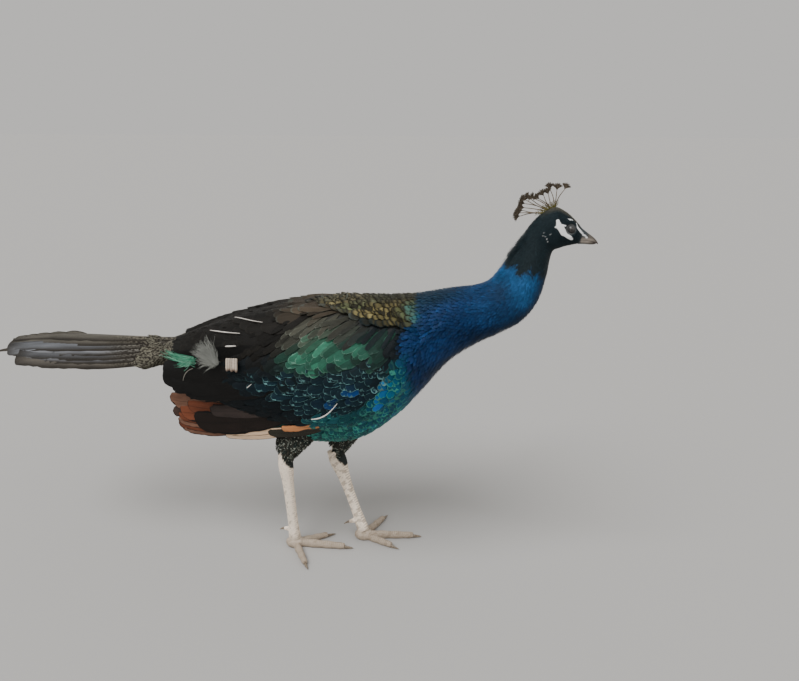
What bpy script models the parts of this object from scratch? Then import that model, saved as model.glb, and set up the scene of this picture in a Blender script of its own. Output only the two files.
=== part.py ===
"""Indian peacock without its train, standing in mid-stride: the solids of the whole bird.

Metres, +X forward, +Y the bird's left, +Z up. The body is one smooth loft from the vent to the
bill, cut into trunk, neck and head. Wings are shells that follow the trunk, with the long flight
feathers hanging from their lower edge. The legs stand on z = 0.
"""
import math

import bpy
import bmesh
import numpy as np
from mathutils import Vector

# ---------------------------------------------------------------- driving dimensions
GAP = 0.0004                 # clear space between two pieces that meet
BODY_SIDES = 24              # points round a body section

# One row per body section, from the vent to the bill: the point on the back line (x, z), the
# point on the belly line (x, z), and the half width between them.
BODY_SECTIONS = (
    ((-0.374, 0.356), (-0.374, 0.306), 0.026),
    ((-0.345, 0.366), (-0.345, 0.283), 0.038),
    ((-0.290, 0.386), (-0.290, 0.246), 0.056),
    ((-0.225, 0.407), (-0.225, 0.216), 0.073),
    ((-0.165, 0.422), (-0.165, 0.199), 0.083),
    ((-0.110, 0.433), (-0.110, 0.195), 0.088),
    ((-0.055, 0.436), (-0.055, 0.207), 0.087),
    ((-0.010, 0.437), (-0.005, 0.244), 0.080),
    ((0.025, 0.441), (0.035, 0.286), 0.069),
    ((0.055, 0.447), (0.075, 0.335), 0.056),
    ((0.085, 0.453), (0.115, 0.365), 0.046),
    ((0.112, 0.457), (0.155, 0.386), 0.039),
    ((0.133, 0.465), (0.187, 0.406), 0.034),
    ((0.150, 0.483), (0.209, 0.437), 0.031),
    ((0.164, 0.507), (0.219, 0.474), 0.0275),
    ((0.179, 0.531), (0.2225, 0.499), 0.0240),
    ((0.193, 0.552), (0.2265, 0.5135), 0.0215),
    ((0.207, 0.5665), (0.236, 0.518), 0.0205),
    ((0.225, 0.5765), (0.243, 0.5205), 0.0203),
    ((0.242, 0.5700), (0.249, 0.522), 0.0185),
    ((0.256, 0.5580), (0.256, 0.5235), 0.0145),
    ((0.2655, 0.5470), (0.2655, 0.5255), 0.0085),
)
SECTION_ROUNDNESS = 2.15     # 2 is an ellipse, more is boxier

# Places along the body are counted in sections from the vent.
VENT = 0.0
NECK_ROOT = 8.6
NECK_MIDDLE = 12.2
HEAD_ROOT = 16.0
BILL_ROOT = 21.0
TRUNK_RINGS = 23
NECK_RINGS = 8
HEAD_RINGS = 12

EYE_CENTRE = (0.2490, 0.0112, 0.5470)
EYE_RADIUS = 0.0063

BILL_BASE = (0.2657, 0.5330)     # where the two halves of the bill meet the face (x, z)
BILL_TIP = (0.2885, 0.5262)
BILL_HOOK = (0.0022, 0.0, -0.0024)
BILL_RINGS = 8
BILL_TOP_RISE = 0.0125
BILL_BOTTOM_DROP = 0.0072
BILL_HALF_WIDTH = 0.0078
LOWER_BILL_REACH = 0.86          # of the upper half's length

CREST_STALKS = 13
CREST_STRIP = (18.2, 16.8)       # places on the crown, front to back
CREST_STRIP_SIZE = (0.0010, 0.0012)      # half width and height of the strip of skin
CREST_FIRST_ANGLE = math.radians(62)
CREST_LAST_ANGLE = math.radians(192)
CREST_SHORTEST = 0.0345
CREST_LONGER_AT_ENDS = 0.0085
CREST_LEAN = 0.10
CREST_TIP_WIDTH = 0.0078
# Part of a stalk's length, width as a part of the fan's, and thickness.
CREST_PROFILE = ((0.09, 0.10, 0.0009), (0.78, 0.10, 0.0008), (0.84, 0.45, 0.0010),
                 (0.93, 0.88, 0.0011), (1.00, 0.80, 0.0008))

WING_ROWS = 18
WING_STEPS = 8
WING_REAR = 0.02                 # places along the body
WING_SHOULDER = 8.25
WING_CLEARANCE = 0.0015          # space between the trunk and the inner face
WING_THICKNESS = 0.016
WING_EDGE_THICKNESS = 0.004
WING_FRONT_ANGLE = 10            # degrees up round the body at the shoulder's foremost point
WING_TOP_ANGLE = 72              # degrees up round the body at the wing's upper edge
WING_BOTTOM_ANGLE = -30
WING_ROUNDED_FROM = 0.72         # part of the wing's length where the shoulder starts to round off

FLIGHT_WING_ROWS = slice(0, 11)  # the rows of the wing that the flight feathers hang from
FLIGHT_STEPS = 5
FLIGHT_THICKNESS = 0.0040
FLIGHT_LEAN = (0.004, 0.006)     # how far the lower edge leans in, on the inner and outer face
FLIGHT_REAR_FLARE = 0.022        # how far the rear stands out from the tail's root instead
FLIGHT_FRONT_DEPTH = 0.008
FLIGHT_REAR_DEPTH = 0.092
FLIGHT_REAR_SLANT = 0.026

TAIL_BASE_X = -0.3745
TAIL_LENGTH = 0.3035
TAIL_ROWS = 17
TAIL_STEPS = 14
TAIL_RIDGE_HEIGHT = 0.3565
TAIL_ROOT_HALF_WIDTH = 0.034
TAIL_HALF_WIDTH = 0.061
TAIL_TIP_HALF_WIDTH = 0.040
TAIL_WIDEST = 0.6                # part of the tail's length
TAIL_ROOF = (0.008, 0.030)       # how far the edge lies under the ridge, at the root and beyond
TAIL_SAG = 0.020
TAIL_ROOT_DEPTH = 0.040
TAIL_THICKNESS = (0.009, 0.003)  # on the ridge, at the root and at the tip
TAIL_SHORTER_AT_EDGE = 0.24
TAIL_SCALLOP = 0.018
TAIL_FEATHERS_SHOWN = 7

HOCK_TOP = 0.004                 # how far the bare leg rises above the middle of the hock
ANKLE_HEIGHT = 0.043
SOLE_CUT_DEPTH = 0.030
LEG_SIDES = 12
TOE_SIDES = 8
PAD_HEIGHT = 0.0085
PAD_RADII = (0.0135, 0.0125, 0.0110)
HALLUX_LENGTH = 0.018
HALLUX_DROP = 0.003
CLAW_LENGTH = 0.014
HIND_CLAW_LENGTH = 0.009

# One row per leg: side, outward direction in y, thigh root, hock, foot, degrees turned out.
LEGS = (
    ("right", -1, Vector((-0.150, -0.036, 0.250)), Vector((-0.180, -0.046, 0.170)),
     Vector((-0.176, -0.026, 0.014)), 1),
    ("left", 1, Vector((-0.078, 0.040, 0.250)), Vector((-0.114, 0.036, 0.143)),
     Vector((-0.064, 0.011, 0.014)), 6),
)
# Part of the way from thigh root to hock, half length and half width.
THIGH_PROFILE = ((0.0, 0.034, 0.025), (0.35, 0.031, 0.024), (0.6, 0.025, 0.021),
                 (0.82, 0.0180, 0.0165), (1.0, 0.0115, 0.0110))
# Part of the way from hock to ankle, half width and half length.
SHANK_PROFILE = ((0.0, 0.0084, 0.0102), (0.06, 0.0095, 0.0121), (0.16, 0.0090, 0.0116),
                 (0.32, 0.0074, 0.0097), (0.65, 0.0067, 0.0086), (1.0, 0.0070, 0.0086))
ANKLE_PROFILE = ((0.0, 0.0070, 0.0086), (0.5, 0.0082, 0.0096), (1.0, 0.0096, 0.0108))
# Name, degrees outwards from straight ahead, length and thickness.
TOES = (
    ("middle", 0, 0.086, 0.0068),
    ("outer", 60, 0.064, 0.0062),
    ("inner", -32, 0.058, 0.0062),
)
# Part of a toe's length, width and height as parts of its thickness: a swelling at each joint.
TOE_PROFILE = ((0.02, 1.05, 1.18), (0.28, 0.92, 0.98), (0.36, 1.06, 1.06), (0.55, 0.86, 0.90),
               (0.64, 0.98, 0.98), (0.80, 0.80, 0.80), (0.90, 0.84, 0.82), (1.00, 0.52, 0.55))
TOE_RISE = 0.86                  # height of a toe's middle, as a part of its half height
HALLUX_PROFILE = ((0.0, 0.0042, 0.0046), (0.5, 0.0040, 0.0042), (1.0, 0.0027, 0.0029))


# ---------------------------------------------------------------- small helpers
def clear_scene():
    for thing in list(bpy.data.objects):
        bpy.data.objects.remove(thing, do_unlink=True)


def make_material(name, colour, roughness=0.6, metallic=0.0):
    material = bpy.data.materials.new(name)
    material.use_nodes = True
    shader = material.node_tree.nodes["Principled BSDF"]
    shader.inputs["Base Color"].default_value = (*colour, 1.0)
    shader.inputs["Roughness"].default_value = roughness
    shader.inputs["Metallic"].default_value = metallic
    material.diffuse_color = (*colour, 1.0)
    return material


def add_object(name, vertices, faces, material):
    mesh = bpy.data.meshes.new(name)
    mesh.from_pydata([tuple(map(float, point)) for point in vertices], [], faces)
    work = bmesh.new()
    work.from_mesh(mesh)
    bmesh.ops.remove_doubles(work, verts=work.verts, dist=1e-6)
    bmesh.ops.recalc_face_normals(work, faces=work.faces)
    work.to_mesh(mesh)
    work.free()
    mesh.shade_smooth()
    mesh.set_sharp_from_angle(angle=math.radians(50))
    piece = bpy.data.objects.new(name, mesh)
    piece.data.materials.append(material)
    bpy.context.scene.collection.objects.link(piece)
    return piece


def loft(name, rings, material):
    """A closed tube through rings that all have the same number of points."""
    rings = [np.asarray(ring, float) for ring in rings]
    sides = len(rings[0])
    vertices = np.concatenate(rings)
    faces = []
    for row in range(len(rings) - 1):
        for side in range(sides):
            here = row * sides + side
            beside = row * sides + (side + 1) % sides
            faces.append((here, beside, beside + sides, here + sides))
    faces.append(tuple(range(sides))[::-1])
    last = (len(rings) - 1) * sides
    faces.append(tuple(range(last, last + sides)))
    return add_object(name, vertices, faces, material)


def slab(name, outer, inner, material):
    """A closed sheet between two grids of points of the same size."""
    rows, columns = outer.shape[:2]
    vertices = np.concatenate([outer.reshape(-1, 3), inner.reshape(-1, 3)])
    under = rows * columns
    index = np.arange(under).reshape(rows, columns)
    faces = []
    for row in range(rows - 1):
        for column in range(columns - 1):
            quad = (index[row, column], index[row, column + 1],
                    index[row + 1, column + 1], index[row + 1, column])
            faces.append(quad)
            faces.append(tuple(under + corner for corner in reversed(quad)))
    rim = [*index[0], *index[1:, -1], *index[-1, -2::-1], *index[-2:0:-1, 0]]
    for here, following in zip(rim, rim[1:] + rim[:1]):
        faces.append((here, under + here, under + following, following))
    return add_object(name, vertices, faces, material)


def ball(name, centre, radii, material, segments=12, rings=8):
    """A ball of flat-ended rings, its poles up and down."""
    rows = []
    for row in range(rings + 1):
        polar = math.pi * (row + 0.12) / (rings + 0.24)
        turns = [2 * math.pi * side / segments for side in range(segments)]
        rows.append([(centre[0] + radii[0] * math.sin(polar) * math.cos(turn),
                      centre[1] + radii[1] * math.sin(polar) * math.sin(turn),
                      centre[2] + radii[2] * math.cos(polar)) for turn in turns])
    return loft(name, rows, material)


def tube(name, centres, half_sizes, material, sides, end_directions):
    """A bar through centres; half_sizes are (width, height) pairs and the ends face as told."""
    centres = [Vector(centre) for centre in centres]
    last = len(centres) - 1
    rings = []
    for index, (centre, (half_width, half_height)) in enumerate(zip(centres, half_sizes)):
        along = centres[min(index + 1, last)] - centres[max(index - 1, 0)]
        if index in (0, last):
            along = Vector(end_directions[0 if index == 0 else 1])
        along.normalize()
        side_way = along.cross(Vector((0, 0, 1)))
        if side_way.length < 0.6:
            side_way = Vector((0, 1, 0))
        side_way.normalize()
        up_way = side_way.cross(along).normalized()
        turns = [2 * math.pi * (side + 0.5) / sides for side in range(sides)]
        rings.append([centre + side_way * half_width * math.cos(turn)
                      + up_way * half_height * math.sin(turn) for turn in turns])
    return loft(name, rings, material)


def floor_box(name, middle, size, material):
    """A box whose top is the floor."""
    corners = [(middle.x + sx * size / 2, middle.y + sy * size / 2, z)
               for z in (-SOLE_CUT_DEPTH, 0.0) for sx, sy in ((-1, -1), (1, -1), (1, 1), (-1, 1))]
    faces = [(0, 3, 2, 1), (4, 5, 6, 7), (0, 1, 5, 4), (1, 2, 6, 5), (2, 3, 7, 6), (3, 0, 4, 7)]
    return add_object(name, corners, faces, material)


def add_boolean(piece, other, operation):
    """Join or cut a piece with another one, which becomes a hidden guide."""
    other.hide_render = True
    other.display_type = "WIRE"
    modifier = piece.modifiers.new(operation.title(), "BOOLEAN")
    modifier.operation = operation
    modifier.solver = "EXACT"
    modifier.object = other


# ---------------------------------------------------------------- the body's surface
BODY_TABLE = np.array([(*back, *belly, width) for back, belly, width in BODY_SECTIONS])


def body_values(place):
    """The body table's row at a place between sections, on a Catmull-Rom curve."""
    last = len(BODY_TABLE) - 1
    place = min(max(place, 0.0), float(last))
    row = min(int(place), last - 1)
    part = place - row
    before, after = BODY_TABLE[max(row - 1, 0)], BODY_TABLE[min(row + 2, last)]
    start, end = BODY_TABLE[row], BODY_TABLE[row + 1]
    return 0.5 * (2 * start + (end - before) * part
                  + (2 * before - 5 * start + 4 * end - after) * part ** 2
                  + (3 * start - before - 3 * end + after) * part ** 3)


def rounded(value):
    """A sine or cosine bent so that a section is a little boxier than an ellipse."""
    return math.copysign(abs(value) ** (2.0 / SECTION_ROUNDNESS), value)


def body_point(place, angle, swell=0.0):
    """Point on the body: angle 0 is the bird's left, 90 degrees the back. swell moves it out."""
    back_x, back_z, belly_x, belly_z, half_width = body_values(place)
    centre = np.array([(back_x + belly_x) / 2, 0.0, (back_z + belly_z) / 2])
    rise = np.array([(back_x - belly_x) / 2, 0.0, (back_z - belly_z) / 2])
    half_depth = np.linalg.norm(rise)
    upright = rise / half_depth * (half_depth + swell) * rounded(math.sin(angle))
    across = np.array([0.0, (half_width + swell) * rounded(math.cos(angle)), 0.0])
    return centre + upright + across


def body_ring(place, swell=0.0):
    turns = [2 * math.pi * (side + 0.5) / BODY_SIDES for side in range(BODY_SIDES)]
    return [body_point(place, turn, swell) for turn in turns]


def body_length(name, start, end, rings, material, swell=0.0):
    """A length of the body between two places, short of both by half a gap."""
    probe = 0.01
    travel = np.array(body_ring(start + probe)).mean(axis=0) - np.array(body_ring(start)).mean(axis=0)
    inset = GAP / 2 / (np.linalg.norm(travel) / probe)
    places = np.linspace(start + inset, end - inset, rings)
    return loft(name, [body_ring(place, swell) for place in places], material)


# ---------------------------------------------------------------- head
def make_eyes(head, material):
    for side, sign in (("left", 1), ("right", -1)):
        centre = (EYE_CENTRE[0], sign * EYE_CENTRE[1], EYE_CENTRE[2])
        socket = ball("guide_socket_" + side, centre, (EYE_RADIUS + GAP,) * 3, material)
        add_boolean(head, socket, "DIFFERENCE")
        ball("eye_" + side, centre, (EYE_RADIUS,) * 3, material)


def bill_ring(part, rise, half_width):
    """A D-shaped section of half a bill, flat where the halves meet; a negative rise hangs down."""
    x = BILL_BASE[0] + (BILL_TIP[0] - BILL_BASE[0]) * part
    z = BILL_BASE[1] + (BILL_TIP[1] - BILL_BASE[1]) * part + math.copysign(GAP / 2, rise)
    turns = [math.pi * step / 8 for step in range(9)]
    return [(x, half_width * math.cos(turn), z + rise * math.sin(turn)) for turn in turns]


def make_bill(material):
    upper, lower = [], []
    for part in np.linspace(0, 1, BILL_RINGS):
        fullness = math.sqrt(1 - part ** 2.4)
        upper.append(bill_ring(part, BILL_TOP_RISE * (0.08 + 0.92 * fullness),
                               BILL_HALF_WIDTH * (0.14 + 0.86 * fullness ** 1.3)))
        fullness = 1 - part ** 1.7
        lower.append(bill_ring(LOWER_BILL_REACH * part, -BILL_BOTTOM_DROP * (0.16 + 0.84 * fullness),
                               BILL_HALF_WIDTH * (0.14 + 0.76 * fullness ** 0.8)))
    hook = np.array(upper[-1]) + BILL_HOOK
    hook[:, 1] *= 0.5
    upper.append(hook)
    loft("bill_upper", upper, material)
    loft("bill_lower", lower, material)


def crest_ring(centre, across, width, thickness):
    """Four corners of a stalk: ahead right, ahead left, behind left, behind right."""
    sideways = np.array([0.0, thickness / 2, 0.0])
    behind = across * width / 2
    return [centre - behind - sideways, centre - behind + sideways,
            centre + behind + sideways, centre + behind - sideways]


def make_crest(material):
    """A narrow strip on the crown; each cell of its top grows a stalk that ends in a fan."""
    half_width, height = CREST_STRIP_SIZE
    sideways = np.array([0.0, half_width, 0.0])
    vertices = []
    for place in np.linspace(*CREST_STRIP, CREST_STALKS + 1):
        low = body_point(place, math.pi / 2, GAP)
        high = body_point(place, math.pi / 2, GAP + height)
        vertices += [low + sideways, low - sideways, high - sideways, high + sideways]
    faces = [(0, 1, 2, 3), tuple(4 * CREST_STALKS + corner for corner in (3, 2, 1, 0))]
    for index in range(CREST_STALKS):
        here, there = 4 * index, 4 * (index + 1)
        for corner, after in ((0, 1), (1, 2), (3, 0)):
            faces.append((here + corner, here + after, there + after, there + corner))
        part = index / (CREST_STALKS - 1)
        angle = CREST_FIRST_ANGLE + (CREST_LAST_ANGLE - CREST_FIRST_ANGLE) * part
        length = CREST_SHORTEST + CREST_LONGER_AT_ENDS * abs(2 * part - 0.9) ** 1.5
        along = np.array([math.cos(angle), CREST_LEAN * math.sin(2.4 * index), math.sin(angle)])
        across = np.array([-math.sin(angle), 0.0, math.cos(angle)])
        below = [here + 2, here + 3, there + 3, there + 2]
        root = np.mean([vertices[corner] for corner in below], axis=0)
        for reach, width, thickness in CREST_PROFILE:
            ring = list(range(len(vertices), len(vertices) + 4))
            vertices += crest_ring(root + along * length * reach, across,
                                   width * CREST_TIP_WIDTH, thickness)
            for corner in range(4):
                after = (corner + 1) % 4
                faces.append((below[corner], below[after], ring[after], ring[corner]))
            below = ring
        faces.append(tuple(below))
    add_object("crest", vertices, faces, material)


# ---------------------------------------------------------------- wings
def wing_part(place):
    """How far a place is along the wing, from 0 at its rear to 1 at the shoulder."""
    return (place - WING_REAR) / (WING_SHOULDER - WING_REAR)


def wing_edges(place):
    """Upper and lower edge of the folded wing, as angles round the body."""
    rounding = max(wing_part(place) - WING_ROUNDED_FROM, 0.0) / (1 - WING_ROUNDED_FROM)
    open_part = math.sqrt(max(1 - rounding ** 2, 0.0))
    shoulder_slope = 1 - 0.42 * max(wing_part(place) - 0.45, 0.0) / 0.55
    top = WING_FRONT_ANGLE + (WING_TOP_ANGLE - WING_FRONT_ANGLE) * open_part * shoulder_slope
    bottom = WING_FRONT_ANGLE - 2 + (WING_BOTTOM_ANGLE - WING_FRONT_ANGLE + 2) * open_part
    return math.radians(top), math.radians(bottom)


def wing_bulge(along, down):
    """Thickness of the folded wing, fullest in its middle."""
    middle = max(math.sin(math.pi * down), 0.0) ** 0.6
    ends = max(math.sin(math.pi * min(0.08 + 0.92 * along, 1.0) ** 0.7), 0.0) ** 0.5
    return WING_EDGE_THICKNESS + (WING_THICKNESS - WING_EDGE_THICKNESS) * middle * ends


def wing_places():
    return np.linspace(WING_REAR, WING_SHOULDER, WING_ROWS + 1)


def make_wing(side, sign, material):
    inner, outer = [], []
    for place in wing_places():
        top, bottom = wing_edges(place)
        inner_row, outer_row = [], []
        for down in np.linspace(0, 1, WING_STEPS + 1):
            angle = top + (bottom - top) * down
            swell = WING_CLEARANCE + wing_bulge(wing_part(place), down)
            inner_row.append(body_point(place, angle, WING_CLEARANCE) * (1, sign, 1))
            outer_row.append(body_point(place, angle, swell) * (1, sign, 1))
        inner.append(inner_row)
        outer.append(outer_row)
    slab("wing_" + side, np.array(outer), np.array(inner), material)


def make_flight_feathers(side, sign, material):
    """The long wing feathers that hang straight down from the folded wing's lower edge."""
    places = wing_places()[FLIGHT_WING_ROWS]
    inner, outer = [], []
    for row, place in enumerate(places):
        rearward = 1 - row / (len(places) - 1)
        top_angle = wing_edges(place)[1] - math.radians(0.5)
        depth = FLIGHT_FRONT_DEPTH + (FLIGHT_REAR_DEPTH - FLIGHT_FRONT_DEPTH) * rearward ** 0.9
        slant = FLIGHT_REAR_SLANT * rearward ** 4
        for sheet, swell, lean in zip((inner, outer), (0.0, FLIGHT_THICKNESS), FLIGHT_LEAN):
            edge = body_point(place, top_angle, WING_CLEARANCE + swell)
            flare = FLIGHT_REAR_FLARE * rearward ** 2 - lean
            sheet.append([(edge[0] + slant * down ** 2, sign * (edge[1] + flare * down),
                           edge[2] - depth * down)
                          for down in np.linspace(0, 1, FLIGHT_STEPS + 1)])
    slab("flight_feathers_" + side, np.array(outer), np.array(inner), material)


# ---------------------------------------------------------------- tail
def tail_half_width(along):
    spread = math.sin(math.pi / 2 * min(along / TAIL_WIDEST, 1.0)) ** 1.2
    closing = max(along - TAIL_WIDEST, 0.0) / (1 - TAIL_WIDEST)
    return (TAIL_ROOT_HALF_WIDTH + (TAIL_HALF_WIDTH - TAIL_ROOT_HALF_WIDTH) * spread
            - (TAIL_HALF_WIDTH - TAIL_TIP_HALF_WIDTH) * closing)


def tail_section(along, across):
    """Top and underside of the folded tail at parts along and across (-1 to 1)."""
    edge = abs(across)
    scallop = TAIL_SCALLOP * abs(math.sin(math.pi * TAIL_FEATHERS_SHOWN * edge / 2))
    length = TAIL_LENGTH * (1 - TAIL_SHORTER_AT_EDGE * edge ** 1.5) - scallop * (0.35 + 0.5 * edge)
    roof = TAIL_ROOF[0] + (TAIL_ROOF[1] - TAIL_ROOF[0]) * min(along / 0.2, 1.0)
    roof *= 1 - 0.5 * max(along - 0.5, 0.0)
    sag = TAIL_SAG * (max(along - 0.45, 0.0) / 0.55) ** 2
    root_depth = TAIL_ROOT_DEPTH * max(1 - along / 0.30, 0.0) ** 1.5 * (1 - 0.6 * edge)
    thickness = TAIL_THICKNESS[0] + (TAIL_THICKNESS[1] - TAIL_THICKNESS[0]) * along + root_depth
    x = TAIL_BASE_X - length * along
    y = tail_half_width(along) * across
    top = TAIL_RIDGE_HEIGHT - roof * edge ** 1.25 - sag
    return (x, y, top), (x, y, top - thickness * (1 - 0.35 * edge))


def make_tail(material):
    grid = [[tail_section(along, across) for across in np.linspace(-1, 1, TAIL_STEPS + 1)]
            for along in np.linspace(0, 1, TAIL_ROWS + 1)]
    grid = np.array(grid)
    slab("tail", grid[:, :, 0], grid[:, :, 1], material)


# ---------------------------------------------------------------- legs
def make_thigh(side, root, hock, trunk_shell, material):
    """The feathered leg above the hock, cut to fit under the trunk."""
    end = hock + Vector((0, 0, HOCK_TOP + GAP))
    turns = [2 * math.pi * step / 14 for step in range(14)]
    rings = []
    for part, half_length, half_width in THIGH_PROFILE:
        centre = root.lerp(end, part)
        rings.append([centre + Vector((half_length * math.cos(turn), half_width * math.sin(turn), 0))
                      for turn in turns])
    thigh = loft("thigh_" + side, rings, material)
    add_boolean(thigh, trunk_shell, "DIFFERENCE")


def make_shank(side, hock, ankle, material):
    top = hock + Vector((0, 0, HOCK_TOP))
    down = (ankle - hock).normalized()
    centres = [top.lerp(ankle, part) for part, _, _ in SHANK_PROFILE]
    tube("shank_" + side, centres, [sizes for _, *sizes in SHANK_PROFILE], material, LEG_SIDES,
         ((0, 0, -1), down))


def make_claw(name, root, ahead, radius, length, reach_down, material):
    """A tapering hooked claw; at a reach_down of 1 its point ends just clear of the floor."""
    drop = reach_down * (root.z - radius * 0.5 - 0.0009)
    parts = np.linspace(0, 1, 5)
    centres = [root + ahead * length * part - Vector((0, 0, drop * part ** 1.6)) for part in parts]
    sizes = [radius * (1 - 0.80 * part ** 1.3) for part in parts]
    tube(name, centres, [(0.85 * size, size) for size in sizes], material, 6, (ahead, ahead))


def make_foot(side, outward, ankle, foot, turn_out, material, claw_material):
    """Ankle, pad and toes in one piece, cut flat where they touch the floor, and the claws."""
    down = (foot - ankle).normalized()
    start = ankle + down * GAP
    piece = tube("foot_" + side, [start.lerp(foot, part) for part, _, _ in ANKLE_PROFILE],
                 [sizes for _, *sizes in ANKLE_PROFILE], material, LEG_SIDES, (down, down))
    pad = ball("guide_pad_" + side, (foot.x, foot.y, PAD_HEIGHT), PAD_RADII, material, 12, 6)
    add_boolean(piece, pad, "UNION")
    for name, spread, length, thickness in TOES:
        turn = math.radians(turn_out + spread) * outward
        ahead = Vector((math.cos(turn), math.sin(turn), 0.0))
        base = Vector((foot.x, foot.y, 0.0))
        centres = [base + ahead * length * part + Vector((0, 0, thickness * height * TOE_RISE))
                   for part, _, height in TOE_PROFILE]
        toe = tube("guide_toe_{}_{}".format(side, name), centres,
                   [(thickness * width, thickness * height) for _, width, height in TOE_PROFILE],
                   material, TOE_SIDES, (ahead, ahead))
        add_boolean(piece, toe, "UNION")
        make_claw("claw_{}_{}".format(side, name), centres[-1] + ahead * GAP, ahead,
                  thickness * 0.50, CLAW_LENGTH, 1.0, claw_material)
    back = Vector((-1.0, outward * -0.25, 0.0)).normalized()
    root = start.lerp(foot, 0.35)
    centres = [root + back * HALLUX_LENGTH * part - Vector((0, 0, HALLUX_DROP * part))
               for part, _, _ in HALLUX_PROFILE]
    hallux = tube("guide_hallux_" + side, centres, [sizes for _, *sizes in HALLUX_PROFILE],
                  material, TOE_SIDES, (back, back))
    add_boolean(piece, hallux, "UNION")
    make_claw("claw_{}_hind".format(side), centres[-1] + back * GAP, back,
              HALLUX_PROFILE[-1][1] * 0.9, HIND_CLAW_LENGTH, 0.15, claw_material)
    add_boolean(piece, floor_box("guide_floor_" + side, foot, 0.24, material), "DIFFERENCE")


def make_legs(feather_material, skin_material, claw_material):
    for side, outward, root, hock, foot, turn_out in LEGS:
        shell = body_length("guide_trunk_" + side, VENT, NECK_ROOT, TRUNK_RINGS, feather_material, GAP)
        make_thigh(side, root, hock, shell, feather_material)
        ankle = hock.lerp(foot, (hock.z - ANKLE_HEIGHT) / (hock.z - foot.z))
        make_shank(side, hock, ankle, skin_material)
        make_foot(side, outward, ankle, foot, turn_out, skin_material, claw_material)


# ---------------------------------------------------------------- the whole bird
def make_bird():
    back = make_material("plumage_back", (0.045, 0.075, 0.035), 0.45)
    blue = make_material("plumage_neck", (0.010, 0.060, 0.190), 0.40)
    black = make_material("plumage_head", (0.012, 0.022, 0.024), 0.55)
    wing = make_material("plumage_wing", (0.015, 0.060, 0.050), 0.45)
    flight = make_material("feather_flight", (0.300, 0.120, 0.050), 0.60)
    tail = make_material("feather_tail", (0.130, 0.120, 0.110), 0.60)
    crest = make_material("feather_crest", (0.075, 0.060, 0.040), 0.60)
    skin = make_material("leg_skin", (0.560, 0.500, 0.420), 0.60)
    horn = make_material("horn", (0.270, 0.220, 0.180), 0.40)
    eye = make_material("eye", (0.020, 0.015, 0.012), 0.08)

    body_length("trunk", VENT, NECK_ROOT, TRUNK_RINGS, back)
    body_length("neck_lower", NECK_ROOT, NECK_MIDDLE, NECK_RINGS, blue)
    body_length("neck_upper", NECK_MIDDLE, HEAD_ROOT, NECK_RINGS, blue)
    head = body_length("head", HEAD_ROOT, BILL_ROOT, HEAD_RINGS, black)
    make_eyes(head, eye)
    make_bill(horn)
    make_crest(crest)
    for side, sign in (("left", 1), ("right", -1)):
        make_wing(side, sign, wing)
        make_flight_feathers(side, sign, flight)
    make_tail(tail)
    make_legs(back, skin, horn)


def centre_on_floor():
    """Parent everything to an empty that puts the middle of the bird's footprint at the origin."""
    bpy.context.view_layer.update()
    graph = bpy.context.evaluated_depsgraph_get()
    low, high = np.full(3, np.inf), np.full(3, -np.inf)
    pieces = [thing for thing in bpy.context.scene.objects if thing.type == "MESH"]
    for piece in pieces:
        if not piece.hide_render:
            corners = np.array([corner[:] for corner in piece.evaluated_get(graph).bound_box])
            low = np.minimum(low, corners.min(axis=0))
            high = np.maximum(high, corners.max(axis=0))
    middle = (low + high) / 2
    holder = bpy.data.objects.new("peacock", None)
    bpy.context.scene.collection.objects.link(holder)
    for piece in pieces:
        piece.parent = holder
    holder.location = (-middle[0], -middle[1], 0.0)


clear_scene()
make_bird()
centre_on_floor()
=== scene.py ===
"""The looks of the peacock: one skin with a coat of mesh feathers, tail, wings, crest, face and legs.

Shapes are worked out in the bird's own frame, as in the solids: metres, +X forward, +Y the bird's
left, +Z up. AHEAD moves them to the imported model's frame.
"""

import math
from collections import namedtuple

import bpy
import numpy as np
from mathutils import Matrix, Vector


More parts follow.
